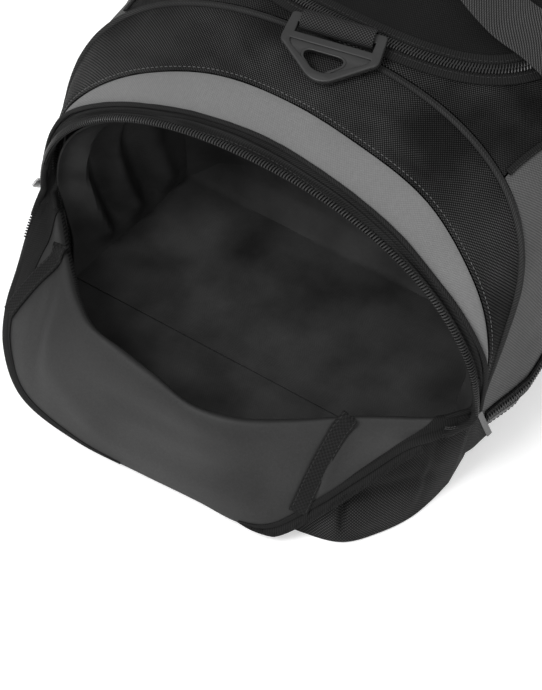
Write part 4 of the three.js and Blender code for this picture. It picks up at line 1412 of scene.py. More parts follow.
@dataclass
class Shell(Assembly):
    """Base, sides, yoke, lid and far end, with their pipings and trims."""

    form: BodyForm
    cloth: float = 2.2
    gap: float = 0.3
    seam_girth: float = 0.0003
    shoulder_seam: float = 0.002
    seam_run: float = 0.0005
    length_steps: int = 150
    pipe_radius: float = 2.4
    pipe_low: float = 0.985
    shoulder_half: float = 2.3
    trim_half: float = 3.2
    trim_thick: float = 1.2
    trim_gap: float = 0.012
    stitch_set: float = 1.0
    patch_top: Pair = (0.009, 0.845)
    patch_foot: Pair = (0.05, 0.97)
    patch_lift: Pair = (1.0, 5.0)
    patch_gap: float = 0.001
    patch_fill: float = 0.8
    patch_edge: float = 4.48
    lid_set: float = 100.0
    arc: float = 465.0
    seat: float = 0.7
    far_girth: float = 0.97
    far_swell: float = 14.0
    well_half: float = 20.3
    well_x: float = 122.0
    well_front: float = 287.2
    well_top: float = 72.8
    well_low: float = -8.0
    well_long: float = 160.0
    side_creases: tuple[Crease, ...] = (
        Crease(60, 90, 62, 60, 9, -3.0),
        Crease(110, 60, 75, 70, 12, 2.4),
        Crease(230, 70, 100, 80, 16, -3.2),
        Crease(340, 100, 80, 80, 14, 2.6),
        Crease(430, 60, 110, 70, 16, -3.0),
        Crease(560, 90, 70, 70, 14, -2.6),
        Crease(610, 60, 100, 60, 10, 2.0),
        Crease(300, 140, 5, 150, 10, -2.0),
    )
    lid_creases: tuple[Crease, ...] = (
        Crease(-20, 120, 12, 60, 12, -3.0),
        Crease(30, 230, -20, 70, 16, -3.4),
        Crease(-35, 330, 30, 70, 14, -2.8),
        Crease(20, 420, -8, 80, 16, -3.0),
        Crease(0, 500, 85, 60, 12, -2.0),
    )

    def build(self) -> None:
        """Makes every panel, piping and trim."""
        self.build_base()
        for side in Side:
            self.build_side(side)
            self.build_trims(side)
            self.build_corner(side)
        self.build_yoke()
        self.build_lid()
        self.build_far_panel()
        for run, name in ((0.0, "near_piping"), (1.0, "far_piping")):
            self.build_piping(run, name)

    def notch(self, obj: Piece) -> None:
        """Cuts the two wheel wells out of a panel.

        Args:
            obj: the panel.
        """
        for side in Side:
            x = side.value * self.well_x + np.array([-self.well_half, self.well_half])
            y = self.well_front + np.array([[0.0], [self.well_long]])
            kit = MeshKit()
            kit.sheet(stacked(x, y, self.well_top), self.well_top - self.well_low)
            block = kit.build("well_block")
            cut = obj.modifiers.new("well", "BOOLEAN")
            cut.object, cut.operation, cut.solver = block, "DIFFERENCE", "EXACT"
            mesh = evaluated(obj)
            obj.modifiers.clear()
            obj.data = mesh
            bpy.data.objects.remove(block)

    def build_base(self) -> None:
        """Makes the base with its rounded corners and turned-up walls."""
        form = self.form
        run = np.linspace(form.pipe_run, 1 - form.pipe_run, self.length_steps)[:, None]
        wall = form.point(run, -np.linspace(form.trim_girth + self.seam_girth, 1, 8)[None])
        y = wall[:, -1:, 1]
        middle = form.foot_half - form.corner_radius
        turn = np.linspace(0, np.pi / 2, 8)[None, 1:]
        level = form.corner_radius * (1 - np.sin(turn))
        corner = stacked(-middle - form.corner_radius * np.cos(turn), y, level)
        flat = stacked(np.linspace(-middle, 0, 26)[None, 1:], y, 0.0)
        left = np.concatenate([wall, corner, flat], 1)
        grid = np.concatenate([left, left[:, -2::-1] * MIRROR], 1)[:, ::-1]
        obj = self.panel(grid, self.cloth, "base_cloth", BASE_WEAVE, ["base_panel"])
        self.notch(obj)

    def build_side(self, side: Side) -> None:
        """Makes one side panel with its soft folds.

        Args:
            side: which side.
        """
        form, sign = self.form, side.value
        run = np.linspace(form.pipe_run, 1 - form.pipe_run, self.length_steps)
        high, low = form.shoulder(run, sign) + self.shoulder_seam, form.trim_girth - self.seam_girth
        girth = lerp(high[:, None], low, shares(60))[:, ::sign] * sign
        grid = form.point(run[:, None], girth)
        flat = cloth_coords(grid)
        u, v = flat[..., 1], np.abs(flat[..., 0] - flat[:, :1, 0])
        v = v[:, ::sign]
        track = np.interp(run, *form.side_track(1, 200))[:, None]
        hold = between(v, 25) * between(u, 40) * smooth(np.abs(np.abs(girth) - track), 0.03, 0.1)
        lift = creased(u, v, self.side_creases) + 0.5 * wander(u / 9 + v / 14, 1.0 + sign)
        grid, node = raised(grid, lift * hold), f"side_panel_{side.word}"
        self.panel(grid, self.cloth, f"side_cloth_{side.word}", GREY_WEAVE, [node], coords=flat)

    def build_trims(self, side: Side) -> None:
        """Sews the trims along a side panel's upper and lower seams.

        Args:
            side: which side.
        """
        form, sign, name = self.form, side.value, side.word
        upper = np.linspace(self.trim_gap, 1 - self.trim_gap, self.length_steps)
        near = np.interp(form.trim_girth, *zip(self.patch_top[::-1], self.patch_foot[::-1]))
        lower = np.linspace(near, 1 - self.trim_gap, self.length_steps)
        rows = (
            ("shoulder_trim", upper, form.shoulder(upper, sign), self.shoulder_half, ZIP_TAPE),
            ("base_trim", lower, np.full_like(lower, form.trim_girth), self.trim_half, PALE_WEAVE),
        )
        for word, run, girth, half, finish in rows:
            frames = form.path(run, sign * girth)
            section = strap_section(2 * half, self.trim_thick, self.seat)
            self.strip(frames, section, f"{word}_band_{name}", finish, [f"{word}_{name}"])
            face = frames.moved(half - self.stitch_set, self.seat + self.trim_thick)
            self.seam(face, f"{word}_stitch_{name}")

    def build_corner(self, side: Side) -> None:
        """Sews the black patch on a side panel's near lower corner, with its pale edge.

        Args:
            side: which side.
        """
        sign, name = side.value, side.word
        form, share, inward = self.form, shares(24)[:, None], shares(16)
        line = lerp(np.array(self.patch_top), np.array(self.patch_foot), share)
        run = lerp(form.pipe_run + self.patch_gap, line[:, :1], inward)
        girth = np.broadcast_to(sign * line[:, 1:], run.shape)
        lift = lerp(*self.patch_lift, share) * smooth(inward, -0.4, 0.5)
        grid = form.point(run, girth) + form.normal(run, girth) * lift[..., None]
        kit = MeshKit()
        kit.sheet(grid[:, ::-sign], self.patch_lift[1])
        self.keep(kit, f"corner_pad_{name}", BASE_WEAVE)
        edge = form.path(line[:, 0], sign * line[:, 1]).moved(0.0, lift[:, -1]).squared
        section = strap_section(self.patch_edge, self.trim_thick)
        self.strip(edge, section, f"corner_edge_{name}", PALE_WEAVE)

    def yoke_rim(self, run: Array, girth: Array, sides: int) -> tuple[Array, Array]:
        """Outer rim of the yoke beside the zip track.

        Args:
            run: run of the track.
            girth: girth of the track.
            sides: steps along each side.

        Returns:
            Run and girth of the rim.
        """
        form = self.form
        rim_run = run.copy()
        front = slice(sides + 1, len(run) - sides - 1)
        angle = np.linspace(-np.pi / 2, np.pi / 2, len(run[front]) + 2)[1:-1]
        share = np.clip(angle / (np.pi / 4), -2, 2)
        beyond = np.maximum(np.abs(share) - 1, 0)
        rim_run[front] = lerp(form.pipe_run, form.zip_turn, beyond)
        rim_girth = np.sign(girth)
        rim_girth[front] = np.clip(share, -1, 1)
        rim_girth = rim_girth * (form.shoulder(rim_run, girth) - self.shoulder_seam)
        return rim_run, rim_girth

    def build_yoke(self) -> None:
        """Makes the band between the zip, the shoulders and the near seam."""
        form, sides, front = self.form, 90, 120
        run, girth = form.zip_track(1 - form.pipe_run, sides, front)
        rim_run, rim_girth = self.yoke_rim(run, girth, sides)
        inner_run, inner_girth = run.copy(), girth * (1 + self.seam_girth / form.zip_girth)
        inner_run[sides + 1 : -sides - 1] -= self.seam_run
        share = shares(26)[:, None]
        round_it = lerp(rim_girth, inner_girth, share)
        grid = form.point(lerp(rim_run, inner_run, share), round_it)
        flat = np.stack([round_it * self.arc, grid[..., 1]], -1)
        hold = smooth(share, 0, 0.25) * smooth(1 - share, 0, 0.3)
        place = cloth_coords(grid)[..., 0]
        lift = 0.9 * wander(place / 11, 2.0) + 0.6 * wander(place / 5, 0.4)
        grid = raised(grid, lift * hold)
        self.panel(grid, self.cloth, "yoke_cloth", BLACK_WEAVE, ["yoke"], coords=flat)

    def build_lid(self) -> None:
        """Makes the slack lid inside the zip."""
        form = self.form
        limit = form.zip_girth - self.seam_girth
        angle = np.linspace(-np.pi / 2, np.pi / 2, 75)[None]
        front = form.zip_turn - (form.zip_turn - form.zip_front - self.seam_run) * np.cos(angle)
        run = lerp(front + self.seam_run, 1 - form.pipe_run, shares(112)[:, None])
        grid = form.point(run, limit * np.sin(angle))
        flat = np.stack([grid[..., 0], grid[..., 1] - form.near_y], -1)
        hold = smooth(1 - np.abs(np.sin(angle)), 0, 0.2) * smooth(run - front, 0, 0.06)
        lift = creased(flat[..., 0], flat[..., 1] - self.lid_set, self.lid_creases)
        grid = raised(grid, lift * hold)
        self.panel(grid, self.cloth, "lid_cloth", SHADED_LID_WEAVE, ["lid"], coords=flat)

    def build_far_panel(self) -> None:
        """Makes the slightly swollen far end."""
        form = self.form
        girth = np.linspace(-self.far_girth, self.far_girth, 121)
        step = form.normal_step
        along = unit(form.point(1.0, girth + step) - form.point(1.0, girth - step))
        inward = unit(np.cross(along, np.array([0.0, -1.0, 0.0])))
        rim = form.point(1.0, girth) + inward * (self.pipe_radius + 2 * self.gap)
        reach = form.foot_half - form.corner_radius / 2
        column, share = shares(len(girth)), shares(60)[:, None]
        end, low = form.near_y + form.length, self.cloth + self.gap
        base = stacked(lerp(-reach, reach, column), end, low)
        grid = lerp(rim, base, share[..., None])
        swell = np.sin(np.pi * share) * np.sin(np.pi * column)
        grid[..., 1] += self.far_swell * swell + self.cloth
        grid[..., 1] += 0.9 * swell * wander(grid[..., 0] / 26 + grid[..., 2] / 40, 3.0)
        flat = grid[..., [0, 2]]
        obj = self.panel(grid, self.cloth, "far_cloth", BLACK_WEAVE, ["far_panel"], coords=flat)
        self.notch(obj)

    def build_piping(self, run: float, name: str) -> None:
        """Makes a covered cord round an end seam.

        Args:
            run: run of the seam.
            name: CAD node that it stands for.
        """
        girth = np.linspace(-self.pipe_low, self.pipe_low, 420)
        frames = Frames.along(self.form.point(run, girth), np.array([0.0, 1.0, 0.0]))
        ripple = 1 + 0.03 * wander(frames.run / 3.2, 0.3)
        section = round_section(self.pipe_radius, 14)
        self.strip(frames, section, f"{name}_cord", PIPING, [name], ripple)


@dataclass
class NearEnd(Assembly):
    """Roof over the end pocket: black panel, pale crescent, zipped rim."""

    form: EndForm
    steps: int = 320
    foot: float = 0.004
    cloth: float = 2.2
    gap: float = 0.3
    edge_gap: float = 0.9
    seam_gap: float = 2.6
    stitch_set: float = 2.9
    rim_stitch_set: float = 12.0
    fold_radius: float = 1.7
    tape_width: float = 1.8
    tape_thick: float = 1.0
    tape_sink: float = 1.2
    coil_reach: float = 4.0
    coil_set: float = 2.4
    tooth_pitch: float = 2.2
    crescent_from: float = 0.115
    crescent_to: float = 0.952
    panel_creases: tuple[Crease, ...] = (
        Crease(-70, 40, 42, 34, 7, -2.6),
        Crease(-52, 34, 40, 26, 5, 1.6),
        Crease(-92, 52, 48, 30, 6, 1.4),
        Crease(-130, 40, 20, 30, 8, -1.8),
        Crease(20, 52, 10, 40, 8, -1.4),
        Crease(95, 44, -24, 42, 8, -2.0),
        Crease(128, 60, -40, 34, 7, 1.6),
        Crease(150, 40, -62, 30, 7, -1.8),
        Crease(60, 30, -12, 30, 6, 1.2),
    )

    def build(self) -> None:
        """Makes the three cloths, the folded edge, the coil and the stitching."""
        self.build_panel()
        self.build_crescent()
        self.build_rim()
        self.build_fold()
        self.build_coil()
        self.build_stitching()

    @property
    def mouth(self) -> Array:
        """Shares along the whole arch."""
        return np.linspace(self.foot, 1 - self.foot, self.steps)

    def patch(self, along: Array, top: Array, low: Array, rows: int) -> tuple[Array, Array]:
        """Shares and cloth coordinates of a patch of the roof."""
        share = lerp(top, low, shares(rows)[:, None])
        return share, self.form.coords(along, share)

    def lay(self, grid: Array, coords: Array, name: str, finish: Finish, node: str) -> None:
        """Makes a patch of the roof, its face up."""
        self.panel(grid[:, ::-1], self.cloth, name, finish, [node], coords=coords[:, ::-1])

    def build_panel(self) -> None:
        """Makes the black panel, whose lower edge is turned under."""
        form = self.form
        along = np.linspace(form.LOW, 1 - form.LOW, self.steps)
        width = form.frames(along)[2]
        low = form.edge(along, 1) - self.edge_gap / width
        share, coords = self.patch(along, self.seam_gap / width, low, 42)
        down = (low - share) * width
        drop = share * width - self.seam_gap
        u, v = form.seam.at(along)[None, :, 0], coords[..., 1]
        lift = 1.5 * creased(u, v, self.panel_creases) * smooth(down, 3, 16) * smooth(drop, 2, 14)
        lift = lift - 0.55 * bell(down, self.stitch_set, 0.9) + 0.35 * bell(down, 0.6, 1.4)
        pucker = wander(u / 3.1, 0.8) * (0.35 * bell(down, 6, 4) + 0.4 * bell(drop, 4, 5))
        grid = form.grid(along, share, lift + pucker)
        self.lay(grid, coords, "end_cloth", BLACK_WEAVE, "end_panel")

    def build_crescent(self) -> None:
        """Makes the pale band."""
        form = self.form
        along = np.linspace(self.crescent_from, self.crescent_to, self.steps)
        place = shares(18)[:, None]
        share, coords = self.patch(along, form.edge(along, 1), form.edge(along, 2), len(place))
        hold = np.sin(np.pi * place)
        lift = 0.5 * hold + 0.35 * hold * wander(coords[..., 0] / 21 + coords[..., 1] / 13, 1.4)
        grid = form.grid(along, share, lift - 0.5 * (1 - smooth(place, 0, 0.12)))
        self.lay(grid, coords, "crescent_cloth", PALE_WEAVE, "crescent_band")

    def build_rim(self) -> None:
        """Makes the rim of the pocket's mouth with its sewn folds."""
        form, along = self.form, self.mouth
        width = form.frames(along)[2]
        top = form.edge(along, 2) + self.edge_gap / width
        share, coords = self.patch(along, top, np.ones_like(along), 32)
        drop, rest = (share - top) * width, (1 - share) * width
        sway = 0.8 * wander(coords[..., 0] / 30, 0.2)
        lift = 1.5 * bell(drop, 7.4 + sway, 1.5) - 1.2 * bell(drop, 5.0 + sway, 0.8)
        lift = lift + 1.1 * bell(rest, 7.4 + sway, 1.6) - 1.2 * bell(rest, 4.6, 1.0)
        self.lay(form.grid(along, share, lift), coords, "rim_cloth", RIM_CLOTH, "pocket_rim")

    def roof_frames(self, along: Array, share: Array, lift: float) -> Frames:
        """Frames of a path over the roof, side down the slope."""
        out, slope = self.form.frames(along)[3:]
        return Frames(self.form.grid(along, share[None], np.full_like(along, lift))[0], slope, out)

    def build_fold(self) -> None:
        """Makes the rolled edge above the rim."""
        form, along = self.form, self.mouth
        width = form.frames(along)[2]
        reach = self.fold_radius + self.gap
        frames = self.roof_frames(along, form.edge(along, 2) + reach / width, reach)
        ripple = 1 + 0.06 * wander(frames.run / 4.0, 1.1)
        section = round_section(self.fold_radius, 12)
        self.strip(frames, section, "rim_roll", RIM_CLOTH, ["rim_fold"], ripple)

    def build_coil(self) -> None:
        """Makes the open half of the zip round the mouth."""
        frames = self.roof_frames(self.mouth, np.ones(self.steps), 0.0)
        tape = frames.moved(self.gap + self.tape_width / 2, -self.tape_sink)
        self.strip(tape, strap_section(self.tape_width, self.tape_thick), "rim_zip_tape", ZIP_TAPE)
        line = frames.flipped.moved(self.coil_set - self.coil_reach, 0.1)
        self.coil(line, self.coil_reach, "rim_coil_teeth", COIL, ["rim_coil"], self.tooth_pitch)

    def build_stitching(self) -> None:
        """Sews the pale row over the crescent and a dark row on the rim."""
        form = self.form
        along = np.linspace(self.crescent_from, self.crescent_to, self.steps)
        width = form.frames(along)[2]
        upper = form.edge(along, 1) - (self.edge_gap + self.stitch_set) / width
        path = self.roof_frames(along, upper, -0.25)
        self.seam(path.squared, "crescent_stitches", PALE_STITCH)
        lower = form.edge(along, 2) + self.rim_stitch_set / width
        path = self.roof_frames(along, np.minimum(lower, 0.985), 0.1)
        self.seam(path.squared, "rim_stitches")


@dataclass
class Pocket(Assembly):
    """Hanging front of the end pocket, its floor, lining, bindings and open zip."""

    form: PocketForm
    cloth: float = 1.6
    wall_down: float = 0.455
    wall_tuck: Triple = (3.5, 26.0, 0.0)
    flap_down: float = 0.45
    zip_end: float = 0.107
    zip_low: float = 2.0
    zip_tape: float = 11.0
    zip_coil: float = 3.4
    zip_shown: Table = (
        (0.2, 0.02), (0.26, 0.2), (0.4, 0.24), (0.44, 0.04),
        (0.5, 0.1), (0.56, 0.5), (0.63, 0.8), (0.68, 0.85),
    )
    coil_from: float = 0.66
    left_band: Table = (
        (0.0, 17.0), (0.06, 20.0), (0.12, 26.0), (0.17, 24.0),
        (0.22, 12.0), (0.3, 8.0), (0.4, 3.0), (0.45, 1.2),
    )
    right_band: Table = (
        (0.6, 1.5), (0.68, 4.0), (0.74, 7.0), (0.82, 9.0),
        (0.87, 11.0), (0.9, 16.0), (0.94, 22.0), (1.0, 20.0),
    )
    edge_teeth: Pair = (0.035, 0.1)
    edge_gap: float = 0.9
    band_thick: float = 0.9
    zip_thick: float = 1.2
    coil_drop: float = 1.6
    tack_along: Pair = (0.936, 0.975)
    tack_down: Pair = (0.68, 0.84)
    tack_half: float = 0.8
    tack_lift: float = 2.3
    tuck: float = 3.0
    gap: float = 0.3
    binding_width: float = 13.0
    binding_thick: float = 1.2
    binding_seat: float = 1.0
    binding_stitch: float = 5.0
    hinge_half: float = 163.0
    hinge_set: float = 0.9
    lining_cloth: float = 1.5
    lining_flare: float = 1.6
    lining_round: float = 2.2
    lining_back: float = 147.98
    lining_rows: Table = (
        (6, 174, 211, 84, 159, 3),
        (40, 169, 203, 84, 155, 3),
        (85, 161, 184, 80, 151, 3),
        (125, 151, 160, 76, 149, 3.5),
        (140, 128, 136, 74, 128, 20),
        (146, 62, 96, 70, 62, 46),
        (148, 0, 70, 70, 0, 70),
    )
    bindings: tuple[tuple[str, float, float, float, float], ...] = (
        ("left", 0.137, 0.5, 0.218, 0.95),
        ("right", 0.738, 0.5, 0.708, 0.97),
    )
    flap_creases: tuple[Crease, ...] = (
        Crease(-120, 40, 60, 40, 9, -3.4),
        Crease(-60, 60, 20, 60, 14, 3.2),
        Crease(-20, 34, -8, 60, 8, -2.2),
        Crease(30, 50, -10, 70, 14, -3.4),
        Crease(90, 60, 70, 50, 9, -3.6),
        Crease(130, 40, 80, 40, 7, 2.6),
    )
    wall_creases: tuple[Crease, ...] = (
        Crease(136, 20, 88, 26, 2.6, -5.0),
        Crease(129, 22, 90, 30, 6, 1.6),
        Crease(152, 18, 80, 26, 12, 3.4),
        Crease(172, 34, -6, 34, 5, -3.2),
        Crease(196, 30, 60, 26, 6, 2.2),
        Crease(206, 44, 75, 30, 5, -2.6),
        Crease(100, 30, 80, 30, 9, -1.8),
        Crease(-120, 40, 95, 40, 8, -2.0),
        Crease(-150, 30, 85, 40, 8, 1.8),
    )
    pleats: Table = (
        (24, 7, 10.0),
        (40, 6, -6.0),
        (56, 8, 8.0),
        (75, 8, -6.0),
        (93, 10, 5.5),
    )

    def build(self) -> None:
        """Makes every piece of the pocket."""
        self.build_wall()
        self.build_flap()
        self.build_floor()
        self.build_lining()
        self.build_zip()
        self.build_edge_band("left", self.left_band)
        self.build_edge_band("right", self.right_band)
        self.build_edge_teeth()
        self.build_tack()
        for row in self.bindings:
            self.build_binding(*row)

    def build_wall(self) -> None:
        """Makes the standing wall, seen from outside below the flap."""
        grid = self.form.grid(shares(250), np.linspace(0, self.wall_down, 36))
        grid = raised(grid, self.cloth)
        tuck = np.array(self.wall_tuck)
        step = np.linspace(1, 0, 9)[None, :-1, None]
        left = grid[:, :1] + tuck * step
        right = grid[:, -1:] + tuck * MIRROR * step[:, ::-1]
        grid = np.concatenate([left, grid, right], 1)
        flat = cloth_coords(grid)
        flat[..., 0] = flat[:1, :, 0]
        u, v = flat[..., 0], flat[..., 1]
        hold = smooth(v, 1, 12) * smooth(v.max() - v, 4, 26)
        grid = raised(grid, creased(u, v, self.wall_creases) * hold)
        nodes, on = ["pocket_front"], ["pocket_floor"]
        self.panel(grid, self.cloth, "pocket_wall", BASE_WEAVE, nodes, Held.HUNG, on, flat)

    def build_flap(self) -> None:
        """Makes the coated flap that hangs over the wall."""
        grid = self.form.grid(shares(270), np.linspace(self.flap_down, 1, 46))[:, ::-1]
        flat = cloth_coords(grid)
        u, v = flat[..., 0], flat[..., 1]
        hold = smooth(v, 8, 26) * smooth(v[-1:] - v, 4, 24)
        grid = raised(grid, creased(-u, v, self.flap_creases) * hold)
        nodes, on = ["pocket_front"], ["pocket_wall"]
        self.panel(grid, self.cloth, "pocket_flap", COATED, nodes, Held.HUNG, on, flat)

    def build_floor(self) -> None:
        """Makes the floor in front of the body."""
        along = shares(160)
        x, y, _ = spline(self.form.sections[:, 0], along).T
        inset, y = 0.9 * self.cloth, y - self.form.near_y
        front = stacked(x * (1 - inset / np.hypot(x, y)), y + inset)
        hinge = stacked(lerp(-self.hinge_half, self.hinge_half, along), self.hinge_set)
        x, y = np.moveaxis(lerp(hinge, front, shares(40)[:, None, None]), -1, 0)
        z = self.form.FLOOR_LIFT + self.cloth + 0.5 * wander(x / 17 + y / 23, 0.6)
        grid = stacked(x, y + self.form.near_y, z)[:, ::-1]
        self.panel(grid, self.cloth, "pocket_floor_cloth", LINING, ["pocket_floor"], Held.LAID)

    def build_lining(self) -> None:
        """Makes the loose lining with its standing folds."""
        first, *columns = np.array(self.lining_rows, float).T
        depth = np.concatenate([np.linspace(6, 125, 50), np.linspace(127, self.lining_back, 18)])
        half, top, spring, foot, floor = (np.interp(depth, first, c)[:, None] for c in columns)
        inset = np.minimum(self.lining_cloth, 0.5 * half)
        flare = self.lining_flare * (1 - smooth(depth, 6, 30))[:, None]
        half, foot = half - inset + flare, np.maximum(foot - inset, 0.2)
        floor, top = floor + inset, top - inset
        rise = shares(32)[:-1]
        side = stacked(-lerp(foot, half, rise), lerp(floor, spring, rise))
        over, level = arched(np.pi * shares(125), self.lining_round)
        roof = stacked(-half * over, lerp(spring, top, level))
        ground = stacked(foot * np.linspace(1, -1, 46)[1:], floor)
        loop = np.concatenate([side, roof, side[:, ::-1] * MIRROR[:2], ground], 1)[:, ::-1]
        place = depth[:, None]
        y = self.form.near_y + place - inset * np.clip((place - 100) / 40, 0, 1)
        x, z = np.moveaxis(loop, -1, 0)
        grid = stacked(x, y, z)
        hold = smooth(place, 8, 26) * smooth(148 - place, 2, 20) * smooth(z, 6, 30)
        wall = smooth(np.abs(x), 90, 140)
        lean = place + 0.18 * (z - 90) + 4 * np.sin(z / 31)
        folds = sum(height * bell(lean, at, span) for at, span, height in self.pleats)
        slack = 2.0 * wander(x / 16 + z / 41 + place / 60, 0.4) + 1.4 * wander(x / 8 - z / 23, 1.7)
        grid = raised(grid, (folds * wall + slack * (1 - 0.6 * wall) + 1.5) * hold)
        grid[..., 1] -= 8.5 * (1 - smooth(place, 6, 40)) * (1 - smooth(z, 5, 40))
        swell = 1 + wander(x / 26 + place / 19, 0.8) + 0.7 * wander(x / 13 - place / 31, 2.2)
        grid[..., 2] += 1.1 * swell * (1 - smooth(z, 5, 9)) * smooth(place, 14, 40)
        name, nodes = "pocket_lining_cloth", ["pocket_lining"]
        self.panel(grid, self.lining_cloth, name, LINING, nodes, Held.HUNG, ring=True)

    def edge_frames(self, count: int) -> tuple[Frames, Array]:
        """Frames along the flap's edge.

        Args:
            count: how many.

        Returns:
            Frames with their side down the hanging tape, and the share of it that shows.
        """
        along = np.linspace(self.zip_end, 1 - self.zip_end, count)
        line = self.form.grid(along, np.array([0.98, 1.0]))
        tangent = unit(np.gradient(line[1], axis=0))
        fall = unit(line[1] - line[0])
        side = unit(fall - tangent * np.sum(fall * tangent, -1, keepdims=True))
        up = unit(np.cross(tangent, side))
        room = (line[1][:, 2] - self.zip_low) / np.maximum(-side[:, 2], 0.3)
        scale = np.clip(room / (self.edge_gap + self.zip_tape + self.zip_coil), 0, 1)
        return Frames(line[1], side, -up), scale * np.interp(along, *zip(*self.zip_shown))

    def build_zip(self) -> None:
        """Makes the zip tape that hangs from the flap, with its half of the coil."""
        frames, scale = self.edge_frames(320)
        reach = np.linspace(0, self.zip_tape, 9)[:, None]
        drop = (reach + self.edge_gap) * scale - self.tuck
        curl = 0.5 * np.sin(np.pi * reach / self.zip_tape) * wander(frames.run / 9, 0.5)
        sink = (self.cloth + self.gap) * (1 - smooth(drop, -0.5, 2.0))
        lift = 0.5 + curl - sink
        grid = frames.point + frames.side * drop[..., None] + frames.up * lift[..., None]
        kit = MeshKit()
        kit.sheet(grid[:, ::-1], self.zip_thick)
        self.keep(kit, "flap_zip_tape", ZIP_TAPE, ["flap_zip"])
        end = self.tuck - (self.edge_gap + self.zip_tape - 0.6) * scale
        line = frames.flipped.moved(end, -self.coil_drop)
        line = line.part(shares(len(end)) > self.coil_from)
        self.coil(line, self.zip_coil, "flap_coil_teeth", SHADED_COIL)

    def build_edge_band(self, name: str, widths: Table) -> None:
        """Makes the zip tape folded over one end of the flap's edge.

        Args:
            name: word for its side.
            widths: width of the tape at places along the front.
        """
        along = np.linspace(widths[0][0], widths[-1][0], 150)
        inset = shares(20)[:, None] * np.interp(along, *zip(*widths))
        ease = 0.5 + 0.6 * smooth(inset, 0, 3) + 0.25 * wander(inset / 2.4 + along * 40, 0.3)
        grid = raised(self.form.margin(along, inset), ease - 0.5 * bell(inset, 7.5, 0.8))
        name = f"flap_edge_band_{name}"
        self.panel(grid, self.band_thick, name, ZIP_TAPE, (), Held.FOLDED, ["pocket_flap"])

    def build_edge_teeth(self) -> None:
        """Makes the coil teeth that show along the flap's left edge."""
        along = np.linspace(*self.edge_teeth, 40)
        grid = self.form.margin(along, np.array([[0.0], [2.0]]) * np.ones_like(along))
        edge = Frames.along(grid[0], grid_normals(grid)[0]).moved(0.3, -0.4)
        self.coil(edge.flipped, self.zip_coil, "flap_edge_teeth", SHADED_COIL)

    def build_tack(self) -> None:
        """Sews the bar tack where the flap's right end meets the wall."""
        along, down = (np.linspace(*ends, 30) for ends in (self.tack_along, self.tack_down))
        frames = self.form.track(along, down)
        for k, shift in enumerate((-self.tack_half, self.tack_half)):
            self.seam(frames.moved(shift, self.tack_lift), f"pocket_tack_{k}", TACK_STITCH)

    def build_binding(self, name: str, a0: float, d0: float, a1: float, d1: float) -> None:
        """Sews a woven tape across the flap.

        Args:
            name: word for its side.
            a0: place of its top along the front.
            d0: place of its top down the section.
            a1: place of its foot along the front.
            d1: place of its foot down the section.
        """
        frames = self.form.track(np.linspace(a0, a1, 60), np.linspace(d0, d1, 60))
        section = strap_section(self.binding_width, self.binding_thick, self.binding_seat)
        ripple = 1 + 0.03 * wander(frames.run / 11, 0.7)
        self.strip(frames, section, f"binding_tape_{name}", TAPE, [f"binding_{name}"], ripple)
        top = self.binding_seat + self.binding_thick
        for turn, edge in ((-1, "inner"), (1, "outer")):
            line = frames.moved(turn * self.binding_stitch, top)
            self.seam(line, f"binding_stitch_{edge}_{name}")


@dataclass
class Corners(Assembly):
    """Tape ends sewn where the rim and the flap meet at both feet of the mouth."""

    roof: EndForm
    front: PocketForm
    rise: float = 0.06
    foot: float = 0.004
    reach: float = 0.03
    lift: float = 1.3
    thick: float = 1.0
    roll: float = 2.6
    roll_fill: float = 0.7

    def build(self) -> None:
        """Sews both corners."""
        for side in Side:
            self.build_corner(side)
            self.build_rolls(side)

    def build_rolls(self, side: Side) -> None:
        """Makes the turned edges of the tape.

        Args:
            side: which side.
        """
        along = np.array([self.rise, self.rise / 2, self.foot])
        out = np.array([0.0, self.reach, 2 * self.reach])
        if side is Side.RIGHT:
            along, out = 1 - along, 1 - out
        for line, down, edge in ((self.roof.seam, 0.5, "inner"), (self.roof.zip, 1.0, "outer")):
            rough = np.concatenate([line.at(along), self.front.grid(out, np.array([down]))[0]])
            frames = Frames.along(spline(rough, shares(48)), np.array([0.0, -1.0, 0.3]))
            swell = 0.75 + 0.25 * np.sin(np.linspace(0, np.pi, 48))
            section, name = round_section(self.roll, 12), f"mouth_roll_{edge}_{side.word}"
            self.strip(frames, section, name, RIM_CLOTH, scale=swell)

    def build_corner(self, side: Side) -> None:
        """Makes one tape, down the roof's foot and out over the flap.

        Args:
            side: which side.
        """
        share = shares(9)
        along = np.linspace(self.rise, self.foot, 12)
        out = np.linspace(0.0, self.reach, 6)
        if side is Side.RIGHT:
            along, out = 1 - along, 1 - out
        wide = np.broadcast_to(share[:, None], (len(share), len(along)))
        roof = self.roof.grid(along, wide, np.zeros_like(wide))
        flap = self.front.grid(out, 0.5 + 0.5 * share)
        rough = np.concatenate([roof, flap], 1)
        grid = np.stack([spline(row, shares(40)) for row in rough])
        grid = raised(grid, self.lift * np.sign(grid_normals(grid)[4, -1, 2]))
        grid = grid if grid_normals(grid)[4, -1, 2] > 0 else grid[:, ::-1]
        name = f"mouth_corner_{side.word}"
        self.panel(grid, self.thick, name, RIM_CLOTH, (), Held.FOLDED, ["rim_cloth"])


